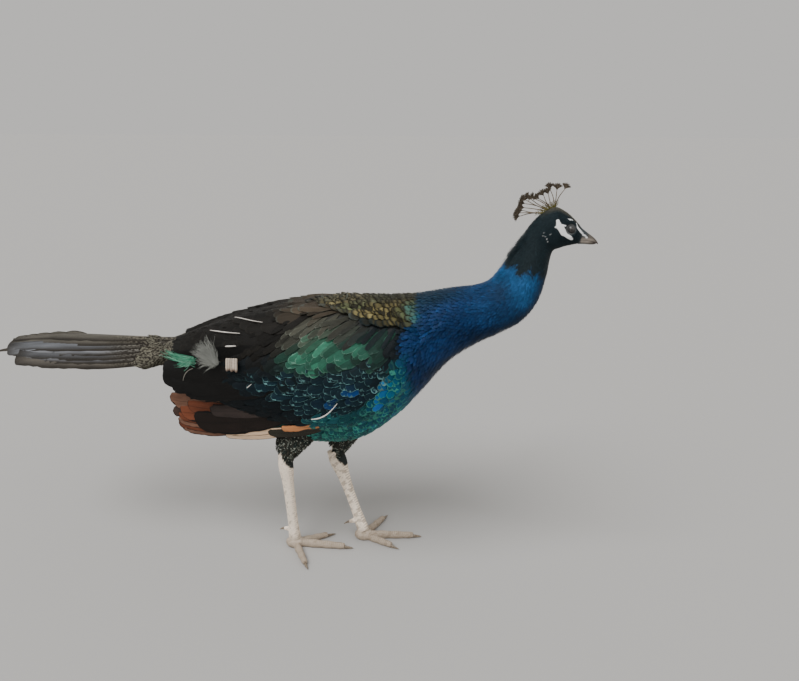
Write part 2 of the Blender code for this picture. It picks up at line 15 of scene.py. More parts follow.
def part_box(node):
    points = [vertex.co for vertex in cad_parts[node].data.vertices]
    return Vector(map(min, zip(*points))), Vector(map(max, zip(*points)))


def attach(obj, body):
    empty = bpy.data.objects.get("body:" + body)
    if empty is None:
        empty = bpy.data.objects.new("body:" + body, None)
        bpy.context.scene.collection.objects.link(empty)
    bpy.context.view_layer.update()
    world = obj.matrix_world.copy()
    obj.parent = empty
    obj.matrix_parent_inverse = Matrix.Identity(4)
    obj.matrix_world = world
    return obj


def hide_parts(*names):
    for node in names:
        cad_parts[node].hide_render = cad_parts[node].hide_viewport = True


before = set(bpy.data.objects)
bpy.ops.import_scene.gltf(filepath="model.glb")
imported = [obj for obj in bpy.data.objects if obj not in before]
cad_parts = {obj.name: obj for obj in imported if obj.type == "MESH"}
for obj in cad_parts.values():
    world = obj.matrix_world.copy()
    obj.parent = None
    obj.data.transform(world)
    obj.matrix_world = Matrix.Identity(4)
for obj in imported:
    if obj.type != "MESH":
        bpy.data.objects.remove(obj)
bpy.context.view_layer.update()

# ---------------------------------------------------------------- driving dimensions
# One row per body section, from the vent to the bill: the point on the back line (x, z), the
# point on the belly line (x, z), and the half width between them. The solids have the same rows.
BODY_SECTIONS = (
    ((-0.374, 0.356), (-0.374, 0.306), 0.026),
    ((-0.345, 0.366), (-0.345, 0.283), 0.038),
    ((-0.290, 0.386), (-0.290, 0.246), 0.056),
    ((-0.225, 0.407), (-0.225, 0.216), 0.073),
    ((-0.165, 0.422), (-0.165, 0.199), 0.083),
    ((-0.110, 0.433), (-0.110, 0.195), 0.088),
    ((-0.055, 0.436), (-0.055, 0.207), 0.087),
    ((-0.010, 0.437), (-0.005, 0.244), 0.080),
    ((0.025, 0.441), (0.035, 0.286), 0.069),
    ((0.055, 0.447), (0.075, 0.335), 0.056),
    ((0.085, 0.453), (0.115, 0.365), 0.046),
    ((0.112, 0.457), (0.155, 0.386), 0.039),
    ((0.133, 0.465), (0.187, 0.406), 0.034),
    ((0.150, 0.483), (0.209, 0.437), 0.031),
    ((0.164, 0.507), (0.219, 0.474), 0.0275),
    ((0.179, 0.531), (0.2225, 0.499), 0.0240),
    ((0.193, 0.552), (0.2265, 0.5135), 0.0215),
    ((0.207, 0.5665), (0.236, 0.518), 0.0205),
    ((0.225, 0.5765), (0.243, 0.5205), 0.0203),
    ((0.242, 0.5700), (0.249, 0.522), 0.0185),
    ((0.256, 0.5580), (0.256, 0.5235), 0.0145),
    ((0.2655, 0.5470), (0.2655, 0.5255), 0.0085),
)
SECTION_ROUNDNESS = 2.15
LAST_PLACE = len(BODY_SECTIONS) - 1

EYE_CENTRE = (0.2490, 0.0112, 0.5470)
EYE_RADIUS = 0.0063

WING_REAR = 0.02
WING_SHOULDER = 8.25
WING_EDGE_THICKNESS = 0.0055
WING_THICKNESS = 0.0175
WING_FRONT_ANGLE = 10
WING_TOP_ANGLE = 72
WING_BOTTOM_ANGLE = -30
WING_ROUNDED_FROM = 0.72


def ahead_of_bird():
    """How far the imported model's frame lies ahead of the bird's own frame."""
    low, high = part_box("eye_left")
    return (low.x + high.x) / 2 - EYE_CENTRE[0]


AHEAD = np.array([ahead_of_bird(), 0.0, 0.0])
FORWARD, LEFT, UP = np.eye(3)


# ---------------------------------------------------------------- small helpers
def smooth(low, high, value):
    """0 below low, 1 above high and an even turn between them."""
    part = np.clip((value - low) / (high - low), 0.0, 1.0)
    return part * part * (3 - 2 * part)


def paint(red, green, blue):
    """A screen colour from 0 to 255 as the linear colour that shaders take."""
    screen = np.array([red, green, blue]) / 255
    return np.where(screen <= 0.04045, screen / 12.92, ((screen + 0.055) / 1.055) ** 2.4)


def mix(first, second, part):
    """Colours between first and second; part may be an array."""
    part = np.asarray(part)[..., None]
    return first * (1 - part) + second * part


def unit(vectors):
    return vectors / np.maximum(np.linalg.norm(vectors, axis=-1, keepdims=True), 1e-12)


def ripple(points, pitch, seed=0):
    """Smooth unevenness between -1 and 1 with features about pitch across."""
    turns = np.random.default_rng(seed).normal(size=(5, 3)) * 2.2 / pitch
    shifts = np.random.default_rng(seed + 1).uniform(0, 2 * math.pi, 5)
    waves = np.sin(points @ turns.T + shifts)
    return waves.sum(axis=-1) / 2.6


# ---------------------------------------------------------------- the body's surface
BODY_TABLE = np.array([(*back, *belly, width) for back, belly, width in BODY_SECTIONS])


def on_curve(rows, where):
    """Values between the rows of a table, on a Catmull-Rom curve; where counts rows from 0."""
    last = len(rows) - 1
    row = np.minimum(where.astype(int), last - 1)
    part = (where - row)[..., None]
    before, after = rows[np.maximum(row - 1, 0)], rows[np.minimum(row + 2, last)]
    start, end = rows[row], rows[row + 1]
    return 0.5 * (2 * start + (end - before) * part
                  + (2 * before - 5 * start + 4 * end - after) * part ** 2
                  + (3 * start - before - 3 * end + after) * part ** 3)


def body_values(place):
    """The body table at places between sections."""
    return on_curve(BODY_TABLE, np.clip(place, 0, LAST_PLACE))


def rounded(value):
    """A sine or cosine bent so that a section is a little boxier than an ellipse."""
    return np.copysign(np.abs(value) ** (2.0 / SECTION_ROUNDNESS), value)


def midline(place):
    """The line (x, z) halfway between back and belly."""
    values = body_values(place)
    return np.stack([(values[..., 0] + values[..., 2]) / 2, (values[..., 1] + values[..., 3]) / 2], -1)


PLACES = np.linspace(0, LAST_PLACE, 1051)
REACHES = np.concatenate([[0], np.cumsum(np.linalg.norm(np.diff(midline(PLACES), axis=0), axis=1))])


def place_at(reach):
    """The place along the body at a distance from the vent in metres."""
    return np.interp(reach, REACHES, PLACES)


def reach_at(place):
    return np.interp(place, PLACES, REACHES)


def body_point(place, angle, swell, behind=0.0):
    """Points on the body: angle 0 is the bird's left, 90 degrees the back. swell moves them out."""
    values = body_values(place)
    back_x, back_z, belly_x, belly_z, half_width = np.moveaxis(values, -1, 0)
    rise_x, rise_z = (back_x - belly_x) / 2, (back_z - belly_z) / 2
    half_depth = np.hypot(rise_x, rise_z)
    lift = (1 + swell / half_depth) * rounded(np.sin(angle))
    return np.stack([(back_x + belly_x) / 2 + rise_x * lift + behind,
                     (half_width + swell) * rounded(np.cos(angle)),
                     (back_z + belly_z) / 2 + rise_z * lift], -1)


def side_angle(angle):
    """Degrees up the bird's side, from -90 at the belly to 90 at the back, on either side."""
    return np.degrees(np.arcsin(np.clip(np.sin(angle), -1, 1)))


def wing_part(place):
    """How far along the folded wing a place is, from 0 at its rear to 1 at the shoulder."""
    return (place - WING_REAR) / (WING_SHOULDER - WING_REAR)


def wing_edges(place):
    """Upper and lower edge of the folded wing, in degrees up the side."""
    rounding = np.clip((wing_part(place) - WING_ROUNDED_FROM) / (1 - WING_ROUNDED_FROM), 0, 1)
    open_part = np.sqrt(1 - rounding ** 2)
    shoulder_slope = 1 - 0.42 * np.maximum(wing_part(place) - 0.45, 0.0) / 0.55
    top = WING_FRONT_ANGLE + (WING_TOP_ANGLE - WING_FRONT_ANGLE) * open_part * shoulder_slope
    bottom = WING_FRONT_ANGLE - 2 + (WING_BOTTOM_ANGLE - WING_FRONT_ANGLE + 2) * open_part
    return top, bottom


def wing_swell(place, side):
    """How far the folded wing stands out from the body, running out softly round its edge."""
    top, bottom = wing_edges(place)
    down = np.clip((top - side) / np.maximum(top - bottom, 0.1), 0, 1)
    along = np.clip(wing_part(place), 0, 1)
    middle = np.sin(math.pi * down) ** 0.6
    ends = np.maximum(np.sin(math.pi * (0.08 + 0.92 * along) ** 0.7), 0.0) ** 0.5
    outside = np.maximum(np.maximum(side - top, bottom - side), 40 * (wing_part(place) - 1))
    fade = 1 - smooth(0.0, 7.0, outside)
    return (WING_EDGE_THICKNESS + (WING_THICKNESS - WING_EDGE_THICKNESS) * middle * ends) * fade


def eye_distance(points):
    """Distance from the eye, seen from the side."""
    return np.hypot(points[..., 0] - EYE_CENTRE[0], points[..., 2] - EYE_CENTRE[2])


def beside_eye(points, place):
    """1 on the sides of the head, where the eyes are."""
    return (place > 17) * (np.abs(points[..., 1]) > 0.006)


def face_relief(points, place):
    """The hollow round the eye, the brow over it and the full cheek behind it."""
    beside = smooth(0.006, 0.011, np.abs(points[..., 1])) * smooth(15.5, 16.5, place)
    hollow = -0.0030 * (1 - smooth(0.0046, 0.0100, eye_distance(points)))
    brow = 0.0009 * np.exp(-((points[..., 0] - 0.249) / 0.010) ** 2
                           - ((points[..., 2] - 0.5575) / 0.0030) ** 2)
    cheek = 0.0008 * np.exp(-((points[..., 0] - 0.243) / 0.009) ** 2
                            - ((points[..., 2] - 0.5360) / 0.0050) ** 2)
    return (hollow + brow + cheek) * beside


def coat_swell(place, angle):
    """How far the outside of the coat lies from the plain body surface."""
    plain = body_point(place, angle, 0.0)
    tail_root = -0.0045 * (1 - smooth(0.4, 2.0, place))
    return wing_swell(place, side_angle(angle)) + face_relief(plain, place) + tail_root


def body_surface(reach, angle, height):
    """A point over the coat's outside, from metres ahead of the vent and the angle round the body."""
    place = place_at(reach)
    return body_point(place, angle, coat_swell(place, angle) + height, np.minimum(reach, 0.0))


def girth_positions(reach, angles):
    """Distance round the body from the first angle to each of the others."""
    ring = body_surface(np.full(len(angles), reach), angles, 0.0)
    steps = np.linalg.norm(np.diff(ring, axis=0), axis=1)
    return np.concatenate([[0], np.cumsum(steps)])


# ---------------------------------------------------------------- markings
BLACK_GREEN = paint(27, 40, 45)
# painted highlight: the top of the head paler and browner where light falls from above
LIT_CROWN = paint(82, 81, 72)
BRIGHT_BLUE = paint(32, 82, 130)
BLUE = paint(21, 56, 96)
NAVY = paint(15, 48, 92)
NECK_TOP = paint(28, 48, 62)
SHADOW_BLUE = paint(6, 20, 40)
TEAL_SPOT = paint(28, 112, 116)
BELLY_TEAL = paint(21, 80, 87)
BELLY_BLUE = paint(17, 72, 102)
BELLY_RIM = paint(52, 132, 118)
WING_BLACK = paint(10, 18, 23)
WING_RIM = paint(18, 31, 34)
COVERT_BLUE = paint(12, 33, 42)
COVERT_RIM = paint(84, 124, 124)
WING_GREEN = paint(53, 121, 95)
WING_GREEN_RIM = paint(112, 166, 142)
PATCH_BLUE = paint(20, 92, 178)
PATCH_TEAL = paint(20, 104, 140)
SCAPULAR = paint(60, 60, 52)
SCAPULAR_RIM = paint(98, 102, 92)
SCAPULAR_BROWN = paint(71, 62, 50)
RUMP = paint(18, 16, 13)
RUMP_RIM = paint(27, 24, 20)
TAIL_BASE = paint(124, 118, 104)
TAIL_BASE_RIM = paint(78, 72, 62)
TAIL_COVERT = paint(104, 101, 88)
TERTIAL = paint(11, 10, 9)
VENT = paint(26, 25, 23)
MANTLE_GOLD = paint(130, 119, 78)
MANTLE_GREEN = paint(94, 100, 68)
MANTLE_RIM = paint(36, 34, 24)
THIGH = paint(30, 41, 39)
THIGH_BROWN = paint(56, 53, 46)
THIGH_SPECK = paint(156, 160, 148)
FACE_WHITE = paint(245, 247, 247)
LID = paint(94, 97, 97)

# Strokes of bare white skin on the face: points (x, z) and half width.
CRESCENT = ((0.2290, 0.5598, 0.0024), (0.2330, 0.5515, 0.0049), (0.2385, 0.5425, 0.0044),
            (0.2505, 0.5335, 0.0024))
CRESCENT_SPUR = ((0.2330, 0.5510, 0.0030), (0.2262, 0.5505, 0.0008))
CRESCENT_BUMP = ((0.2345, 0.5528, 0.0036), (0.2398, 0.5530, 0.0016))
BROW_STREAK = ((0.2423, 0.5628, 0.0004), (0.2466, 0.5611, 0.0010), (0.2512, 0.5596, 0.0006))
LORE_STREAK = ((0.2567, 0.5556, 0.0005), (0.2590, 0.5490, 0.0014), (0.2643, 0.5427, 0.0013),
               (0.2690, 0.5378, 0.0009), (0.2738, 0.5349, 0.0004))
BARE_STROKES = (CRESCENT, CRESCENT_SPUR, CRESCENT_BUMP, BROW_STREAK, LORE_STREAK)

# Small white specks behind the cheek (x, z).
EAR_SPECKS = ((0.2113, 0.5421), (0.2101, 0.5381), (0.2132, 0.5368), (0.2193, 0.5397),
              (0.2207, 0.5345), (0.2170, 0.5299), (0.2150, 0.5340))

# Spots where the light catches vivid blue: place, degrees up the side, and their half sizes.
BLUE_SPOTS = ((5.90, -0.5, 0.17, 3.8), (5.33, -5.5, 0.20, 3.4), (7.02, -4, 0.34, 6),
              (6.75, -16, 0.40, 7), (7.25, -22, 0.30, 7))
# The same for green on the wing, with a strength, and for teal on the shoulder.
GREEN_SPOTS = ((4.62, 30, 0.44, 7, 0.95), (5.00, 39, 0.40, 6, 0.75), (5.20, 28, 0.50, 7, 0.75),
               (5.80, 30, 0.46, 6, 0.62), (6.32, 30, 0.34, 6, 0.45))
TEAL_SPOTS = ((7.95, 58, 0.20, 9), (8.10, 42, 0.22, 8), (7.12, 7, 0.14, 6))

# Edges between markings, as places and degrees up the side.
MANTLE_EDGE = ((4.5, 4.9, 5.5, 6.2, 7.4, 8.1), (88, 75, 60, 50, 38, 34))
TEAL_EDGE = ((4.4, 4.8, 5.6, 6.3, 7.0), (-26, -17, -11, -14, -9))
# The other way round: degrees up the side, and places.
WING_FRONT = ((-20, -9, -2, 9, 30, 44, 60), (6.65, 6.92, 7.10, 7.45, 7.66, 7.98, 8.15))
WING_SCALES_FROM = ((-20, -8, 4), (4.3, 3.8, 2.9))
BLUE_FROM = 13.75               # place on the neck where the head's black-green ends
# How deep the skin lies under the outside of the coat: places and metres.
COAT_DEPTH = ((0, 8, 12, 15.5, 16.5, 20.5), (0.0055, 0.0050, 0.0032, 0.0020, 0.0011, 0.0006))


def stroke_distance(points, stroke):
    """Distance in side view from the edge of a stroke of varying width, less than 0 inside it."""
    spot = points[..., [0, 2]]
    found = np.full(points.shape[:-1], np.inf)
    for (*start, start_width), (*end, end_width) in zip(stroke, stroke[1:]):
        along = np.subtract(end, start)
        part = np.clip((spot - start) @ along / (along @ along), 0, 1)
        gap = np.linalg.norm(spot - (start + part[..., None] * along), axis=-1)
        found = np.minimum(found, gap - (start_width + (end_width - start_width) * part))
    return found


def bare_white(points):
    """1 on the bare white skin of the face."""
    edge = np.minimum.reduce([stroke_distance(points, stroke) for stroke in BARE_STROKES])
    edge = edge + 0.0005 * ripple(points, 0.004, 11)
    return (1 - smooth(-0.0003, 0.0003, edge)) * (np.abs(points[..., 1]) > 0.004)


def spot(place, side, centre, centre_side, reach, reach_side):
    """1 in the middle of a soft spot, falling to 0 round it."""
    return np.exp(-((place - centre) / reach) ** 2 - ((side - centre_side) / reach_side) ** 2)


def mantle_part(place, side):
    """1 on the gold scales of the mantle."""
    lower_edge = np.interp(place, *MANTLE_EDGE)
    return smooth(-3, 6, side - lower_edge) * smooth(4.4, 4.9, place) * (1 - smooth(8.05, 8.35, place))


def wing_front(side):
    """The place where the folded wing's coverts give way to the feathers of the neck and breast."""
    return np.interp(side, *WING_FRONT)


def blue_start(side, points):
    """The place on the neck where the black-green of the head gives way to blue."""
    return BLUE_FROM - 0.004 * side + 0.20 * ripple(points, 0.012, 21) + 0.12 * ripple(points, 0.004, 22)


def layer(colours, over, part):
    """Middle and rim colours with another middle and rim laid over them; part may be an array."""
    return tuple(mix(below, above, part) for below, above in zip(colours, over))


def rump_colours(place):
    """Middle and rim of the long feathers of the rump, black at the rear and brown further ahead."""
    brown = smooth(4.2, 5.5, place)
    return mix(RUMP, SCAPULAR_BROWN, brown), mix(RUMP_RIM, SCAPULAR_RIM, 0.6 * brown)


def neck_colours(place, side, points, wander):
    """Blue of the neck and breast: brighter up the neck, darker underneath and on its top."""
    middle = mix(NAVY, BLUE, smooth(9.5, 12.0, place + 0.5 * wander))
    middle = mix(middle, BRIGHT_BLUE, smooth(11.6, 13.2, place + 0.4 * wander))
    under = (1 - smooth(-70, -20, side)) * smooth(7.5, 8.5, place)
    middle = mix(middle, SHADOW_BLUE, 0.85 * under)
    neck_top = smooth(35, 65, side) * (1 - smooth(9.0, 11.5, place))
    middle = mix(middle, NECK_TOP, 0.8 * neck_top)
    middle = middle * (1 + 0.22 * ripple(points, 0.018, 33))[..., None]
    return middle, mix(middle, TEAL_SPOT, 0.10)


def belly_colours(colours, place, side, wander):
    belly = (1 - smooth(7.2, 7.9, place + 0.25 * wander)) * (1 - smooth(0, 12, side))
    middle, rim = layer(colours, (BELLY_TEAL, BELLY_RIM), belly)
    middle = mix(middle, BELLY_BLUE, 0.8 * belly * smooth(5.6, 7.0, place))
    vent = (1 - smooth(3.0, 4.2, place)) * (1 - smooth(-30, -15, side))
    return layer((middle, rim), (VENT, VENT), vent)


def wing_colours(colours, place, side, points, wander):
    """The folded wing: black, with blue scales low down, a teal edge, and brown scapulars on top."""
    bottom = wing_edges(place)[1]
    front = wing_front(side) + 0.08 * ripple(points, 0.012, 34)
    wing = smooth(-2, 2, side - bottom) * (1 - smooth(-0.08, 0.08, place - front))
    colours = layer(colours, (WING_BLACK, WING_RIM), wing)
    lower = wing * (1 - smooth(14, 20, side)) * (1 - smooth(6.8, 7.3, place))
    lower = lower * smooth(0.0, 0.9, place - np.interp(side, *WING_SCALES_FROM))
    colours = layer(colours, (COVERT_BLUE, COVERT_RIM), lower)
    under_teal_edge = 1 - smooth(-3, 3, side - np.interp(place, *TEAL_EDGE) + 3 * wander)
    teal = wing * under_teal_edge * smooth(4.3, 4.7, place)
    colours = layer(colours, (BELLY_TEAL, BELLY_RIM), 0.85 * teal)
    scapular = wing * smooth(34, 42, side) * (1 - smooth(5.2, 6.3, place)) * smooth(3.2, 3.9, place)
    return layer(colours, (SCAPULAR, SCAPULAR_RIM), scapular)


def rear_colours(colours, place, side):
    """The rump, and the mottled feathers over the root of the tail."""
    rump = (1 - smooth(3.6, 4.4, place)) * smooth(24, 36, side) + smooth(55, 62, side) * (place < 8)
    colours = layer(colours, rump_colours(place), np.clip(rump, 0, 1))
    return layer(colours, (TAIL_BASE, TAIL_BASE_RIM), 1 - smooth(0.85, 1.0, place))


def bright_spots(colours, place, side, points):
    """Green and vivid blue where the light catches the wing and the breast."""
    flecks = ripple(points, 0.010, 32)
    for centre, centre_side, reach, reach_side, strength in GREEN_SPOTS:
        green = strength * spot(place, side, centre, centre_side, reach, reach_side)
        colours = layer(colours, (WING_GREEN, WING_GREEN_RIM), green * (0.76 + 0.24 * flecks))
    middle, rim = colours
    for area in BLUE_SPOTS:
        vivid = smooth(0.10, 0.95, spot(place, side, *area) * (1 + 0.6 * flecks))
        vivid = vivid * np.interp(place, (6.2, 6.6), (0.55, 0.85))
        middle = mix(middle, mix(PATCH_BLUE, PATCH_TEAL, smooth(6.4, 7.2, place)), vivid)
    return middle, rim


def mantle_colours(colours, place, side, wander):
    """Gold scales of the mantle, greener towards the neck; painted shade dulls them to brown at the
    ridge.
    """
    gold = mix(MANTLE_GOLD, MANTLE_GREEN, smooth(-0.2, 0.8, wander + 0.8 * smooth(7.2, 8.2, place)))
    # painted shade: the scales turn dull brown towards the ridge, where the light grazes
    gold = mix(gold, SCAPULAR, 0.75 * smooth(62, 82, side))
    gold = gold * np.interp(place, (5.2, 7.4), (1.22, 0.68))[..., None]
    middle, rim = layer(colours, (gold, MANTLE_RIM), mantle_part(place, side))
    # painted highlights: teal where the light catches the shoulder
    for area in TEAL_SPOTS:
        middle = mix(middle, TEAL_SPOT, 0.6 * spot(place, side, *area))
    return middle, rim


def head_colours(colours, place, side, points):
    """Black-green head, a painted brown highlight on the crown, pale specks behind the cheek, grey lids.
    """
    head = smooth(-0.18, 0.18, place - blue_start(side, points))
    # painted highlight on the crown, where light falls on the top of the head
    black = mix(BLACK_GREEN, LIT_CROWN, smooth(48, 76, side) * smooth(16.5, 18, place))
    for x, z in EAR_SPECKS:
        speck = np.hypot(points[..., 0] - x, points[..., 2] - z)
        black = mix(black, FACE_WHITE, 0.55 * (1 - smooth(0.0003, 0.0011, speck)))
    lids = (1 - smooth(0.0074, 0.0084, eye_distance(points))) * beside_eye(points, place)
    black = mix(black, LID, 0.6 * lids)
    return layer(colours, (black, black), head)


def body_colours(place, side, points):
    """Colours of the middle and of the rim of the feathers at places on the body."""
    wander = ripple(points, 0.030, 31)
    colours = neck_colours(place, side, points, wander)
    colours = belly_colours(colours, place, side, wander)
    colours = wing_colours(colours, place, side, points, wander)
    colours = rear_colours(colours, place, side)
    colours = bright_spots(colours, place, side, points)
    colours = mantle_colours(colours, place, side, wander)
    return head_colours(colours, place, side, points)


def coat_depth(place):
    """Distance from the outside of the coat down to the skin."""
    return np.interp(place, *COAT_DEPTH)


# ---------------------------------------------------------------- meshes
SHARP_FROM = 60                 # degrees between two faces from which their edge is sharp
MIDDLE_OF_VANE = (0.5, 0.5)


def finish_piece(name, mesh, material, nodes=()):
    """Put a mesh in the scene, riding on the bird and standing for some of the solids."""
    mesh.materials.append(material)
    piece = bpy.data.objects.new(name, mesh)
    bpy.context.scene.collection.objects.link(piece)
    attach(piece, "root")
    if nodes:
        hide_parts(*nodes)


def new_mesh(name, points, loops, sizes):
    """A smooth-shaded mesh from vertex points and the corners of its faces, one after another."""
    mesh = bpy.data.meshes.new(name)
    mesh.vertices.add(len(points))
    mesh.vertices.foreach_set("co", np.asarray(points + AHEAD, np.float32).ravel())
    mesh.loops.add(len(loops))
    mesh.loops.foreach_set("vertex_index", loops.astype(np.int32))
    mesh.polygons.add(len(sizes))
    starts = np.concatenate([[0], np.cumsum(sizes)[:-1]])
    mesh.polygons.foreach_set("loop_start", starts.astype(np.int32))
    mesh.update(calc_edges=True)
    mesh.validate()
    mesh.shade_smooth()
    mesh.set_sharp_from_angle(angle=math.radians(SHARP_FROM))
    return mesh


def add_colours(mesh, name, colours):
    """A colour at each vertex."""
    layer = mesh.color_attributes.new(name=name, type="FLOAT_COLOR", domain="POINT")
    full = np.ones((len(colours), 4), np.float32)
    full[:, :3] = colours
    layer.data.foreach_set("color", full.ravel())


def add_map(mesh, name, places, loops):
    """A map from places (u, v) given for each vertex."""
    layer = mesh.uv_layers.new(name=name)
    layer.uv.foreach_set("vector", places[loops].astype(np.float32).ravel())


def grid_faces(rows, columns):
    """Quads of a tube of rings, and its two end caps."""
    grid = np.arange(rows * columns).reshape(rows, columns)
    beside = np.roll(grid, -1, axis=1)
    quads = np.stack([grid[:-1], beside[:-1], beside[1:], grid[1:]], -1).reshape(-1, 4)
    return [tuple(quad) for quad in quads] + [tuple(grid[0][::-1]), tuple(grid[-1])]


class Batch:
    """Many closed shapes that become one mesh, with their colours and maps."""

    def __init__(self):
        self.parts = {key: [] for key in ("points", "loops", "sizes", "vane", "bake", "tint", "rim")}
        self.count = 0

    def add(self, points, faces, vane, bake, tint, rim):
        """points is (shapes, vertices, 3) and the faces are alike in every shape."""
        shapes, vertices = points.shape[:2]
        starts = self.count + vertices * np.arange(shapes)
        self.count += shapes * vertices
        corners = np.concatenate(faces)
        full = (shapes, vertices)
        self.parts["points"].append(points.reshape(-1, 3))
        self.parts["loops"].append((starts[:, None] + corners).ravel())
        self.parts["sizes"].append(np.tile([len(face) for face in faces], shapes))
        self.parts["vane"].append(np.broadcast_to(vane, (*full, 2)).reshape(-1, 2))
        self.parts["bake"].append(np.broadcast_to(bake, (*full, 2)).reshape(-1, 2))
        for key, colours in (("tint", tint), ("rim", rim)):
            self.parts[key].append(np.broadcast_to(colours, (*full, 3)).reshape(-1, 3))

    def add_tube(self, rings, bake, tint, rim=None):
        """A closed tube of rings; tint is one colour, or one for each ring, and also the usual rim."""
        rows, sides = rings.shape[:2]
        tint = np.repeat(np.broadcast_to(tint, (rows, 3)), sides, axis=0)
        self.add(rings.reshape(1, -1, 3), grid_faces(rows, sides), MIDDLE_OF_VANE, bake, tint,
                 tint if rim is None else rim)

    def make(self, name, material, nodes=()):
        found = {key: np.concatenate(parts) for key, parts in self.parts.items()}
        mesh = new_mesh(name, found["points"], found["loops"], found["sizes"])
        add_map(mesh, "Vane", found["vane"], found["loops"])
        add_map(mesh, "OFBake", found["bake"], found["loops"])
        add_colours(mesh, "Tint", found["tint"])
        add_colours(mesh, "Rim", found["rim"])
        finish_piece(name, mesh, material, nodes)


def make_solid(name, rings, faces, tint, material, nodes):
    """A piece that is one closed shape with a colour at each vertex."""
    batch = Batch()
    batch.add(rings.reshape(1, -1, 3), faces, (0, 0), (0, 0), tint.reshape(1, -1, 3), (0, 0, 0))
    batch.make(name, material, nodes)


# ---------------------------------------------------------------- feathers
BAKE_PATCH = 0.003
WIDEST = 0.55                   # part of a feather's length at which it is widest


def vane_template(rows, columns):
    """A grid (along, across) and the faces of a closed thin vane: its arched top, and a flat back."""
    turns = np.linspace(-math.pi / 2, math.pi / 2, columns)
    along, across = np.meshgrid(np.linspace(0, 1, rows), np.sin(turns), indexing="ij")
    grid = np.arange(rows * columns).reshape(rows, columns)
    faces = [tuple(grid[0]), tuple(grid[-1][::-1])]
    for row in range(rows - 1):
        faces.append((grid[row, 0], grid[row, -1], grid[row + 1, -1], grid[row + 1, 0]))
        for column in range(columns - 1):
            faces.append((grid[row, column], grid[row + 1, column],
                          grid[row + 1, column + 1], grid[row, column + 1]))
    return along.ravel(), across.ravel(), faces


class Shape:
    """The outline and arch of a kind of feather.

    tip and root are widths at the ends as parts of the full width, and ragged is how much the
    edges wander. The end of the tip is round.
    """

    def __init__(self, rows, columns, tip=0.8, arch=0.10, ragged=0.05, root=0.3):
        self.along, self.across, self.faces = vane_template(rows, columns)
        self.arch, self.ragged = arch, ragged
        opening = root + (1 - root) * np.sin(np.minimum(self.along / WIDEST, 1) * math.pi / 2)
        closing = 1 - (1 - tip) * np.maximum(self.along - WIDEST, 0) ** 2 / (1 - WIDEST) ** 2
        self.wide = self.across * opening * closing
        bow = 1 - np.sqrt(1 - 0.98 * self.across ** 2)
        self.drop = tip * bow * self.along ** 3
        self.vane = np.stack([self.across / 2 + 0.5, self.along], -1)
        self.middle = rows // 2 * columns + columns // 2

    def outline(self, length, width, rng):
        """Distances along and across each feather at its vertices."""
        count = len(length)
        wear = self.ragged * rng.uniform(0, 1.5, (count, len(self.across))) ** 2
        wear *= (np.abs(self.across) > 0.8) * smooth(0.3, 0.5, self.along)
        wide = self.wide * (1 - wear) * width[:, None] / 2
        tip_wear = 1 - wear * 0.3 * (self.along == 1)
        return (self.along * tip_wear) * length[:, None] - self.drop * width[:, None] / 2, wide

    def rise(self, width):
        """How far the arched middle stands up at each vertex, more towards the tip."""
        return self.arch * width[:, None] * (1 - self.across ** 2) * (0.35 + 0.65 * self.along)


def surface_steps(surface, reach, angle):
    """How a point on a surface moves for a metre of reach and for a radian round it."""
    small = 1e-3
    forward = surface(reach + small, angle, 0.0) - surface(reach - small, angle, 0.0)
    round_it = surface(reach, angle + small, 0.0) - surface(reach, angle - small, 0.0)
    return forward / (2 * small), round_it / (2 * small)


def lay_feathers(surface, shape, reach, angle, length, width, turn, depth, lift, roll, rng):
    """Vertices (feathers, vertices, 3) of feathers that lie along a surface from their roots.

    depth is how far the root is sunk and lift how far the tip stands up; each value may be the
    same for all the feathers, apart from angle.
    """
    reach, length, width, turn, depth, lift, roll = (
        np.broadcast_to(each, angle.shape) for each in (reach, length, width, turn, depth, lift, roll))
    forward, round_it = surface_steps(surface, reach, angle)
    pace = np.linalg.norm(forward, axis=-1)
    back = -forward / pace[:, None]
    lean = (round_it * back).sum(-1)
    across_pace = np.linalg.norm(round_it - back * lean[:, None], axis=-1)
    ahead, aside = shape.outline(length, width, rng)
    cos, sin = np.cos(turn)[:, None], np.sin(turn)[:, None]
    backward, sideways = ahead * cos - aside * sin, ahead * sin + aside * cos
    angles = angle[:, None] + sideways / across_pace[:, None]
    reaches = reach[:, None] - backward / pace[:, None]
    reaches = reaches + sideways * (lean / (pace * across_pace))[:, None]
    height = (-depth[:, None] * (1 - shape.along) ** 1.2 + lift[:, None] * shape.along ** 2
              + roll[:, None] * width[:, None] * shape.across * shape.along + shape.rise(width))
    return surface(reaches, angles, height)


def bake_places(across, up, shape):
    """Each feather's own small patch on an unwrap of the skin, at its root's place."""
    roots = BAKE_PATCH + (1 - 2 * BAKE_PATCH) * np.stack([across, up], -1)
    patch = np.stack([shape.across / 2, shape.along - 0.5], -1) * BAKE_PATCH
    return roots[:, None] + patch[None]


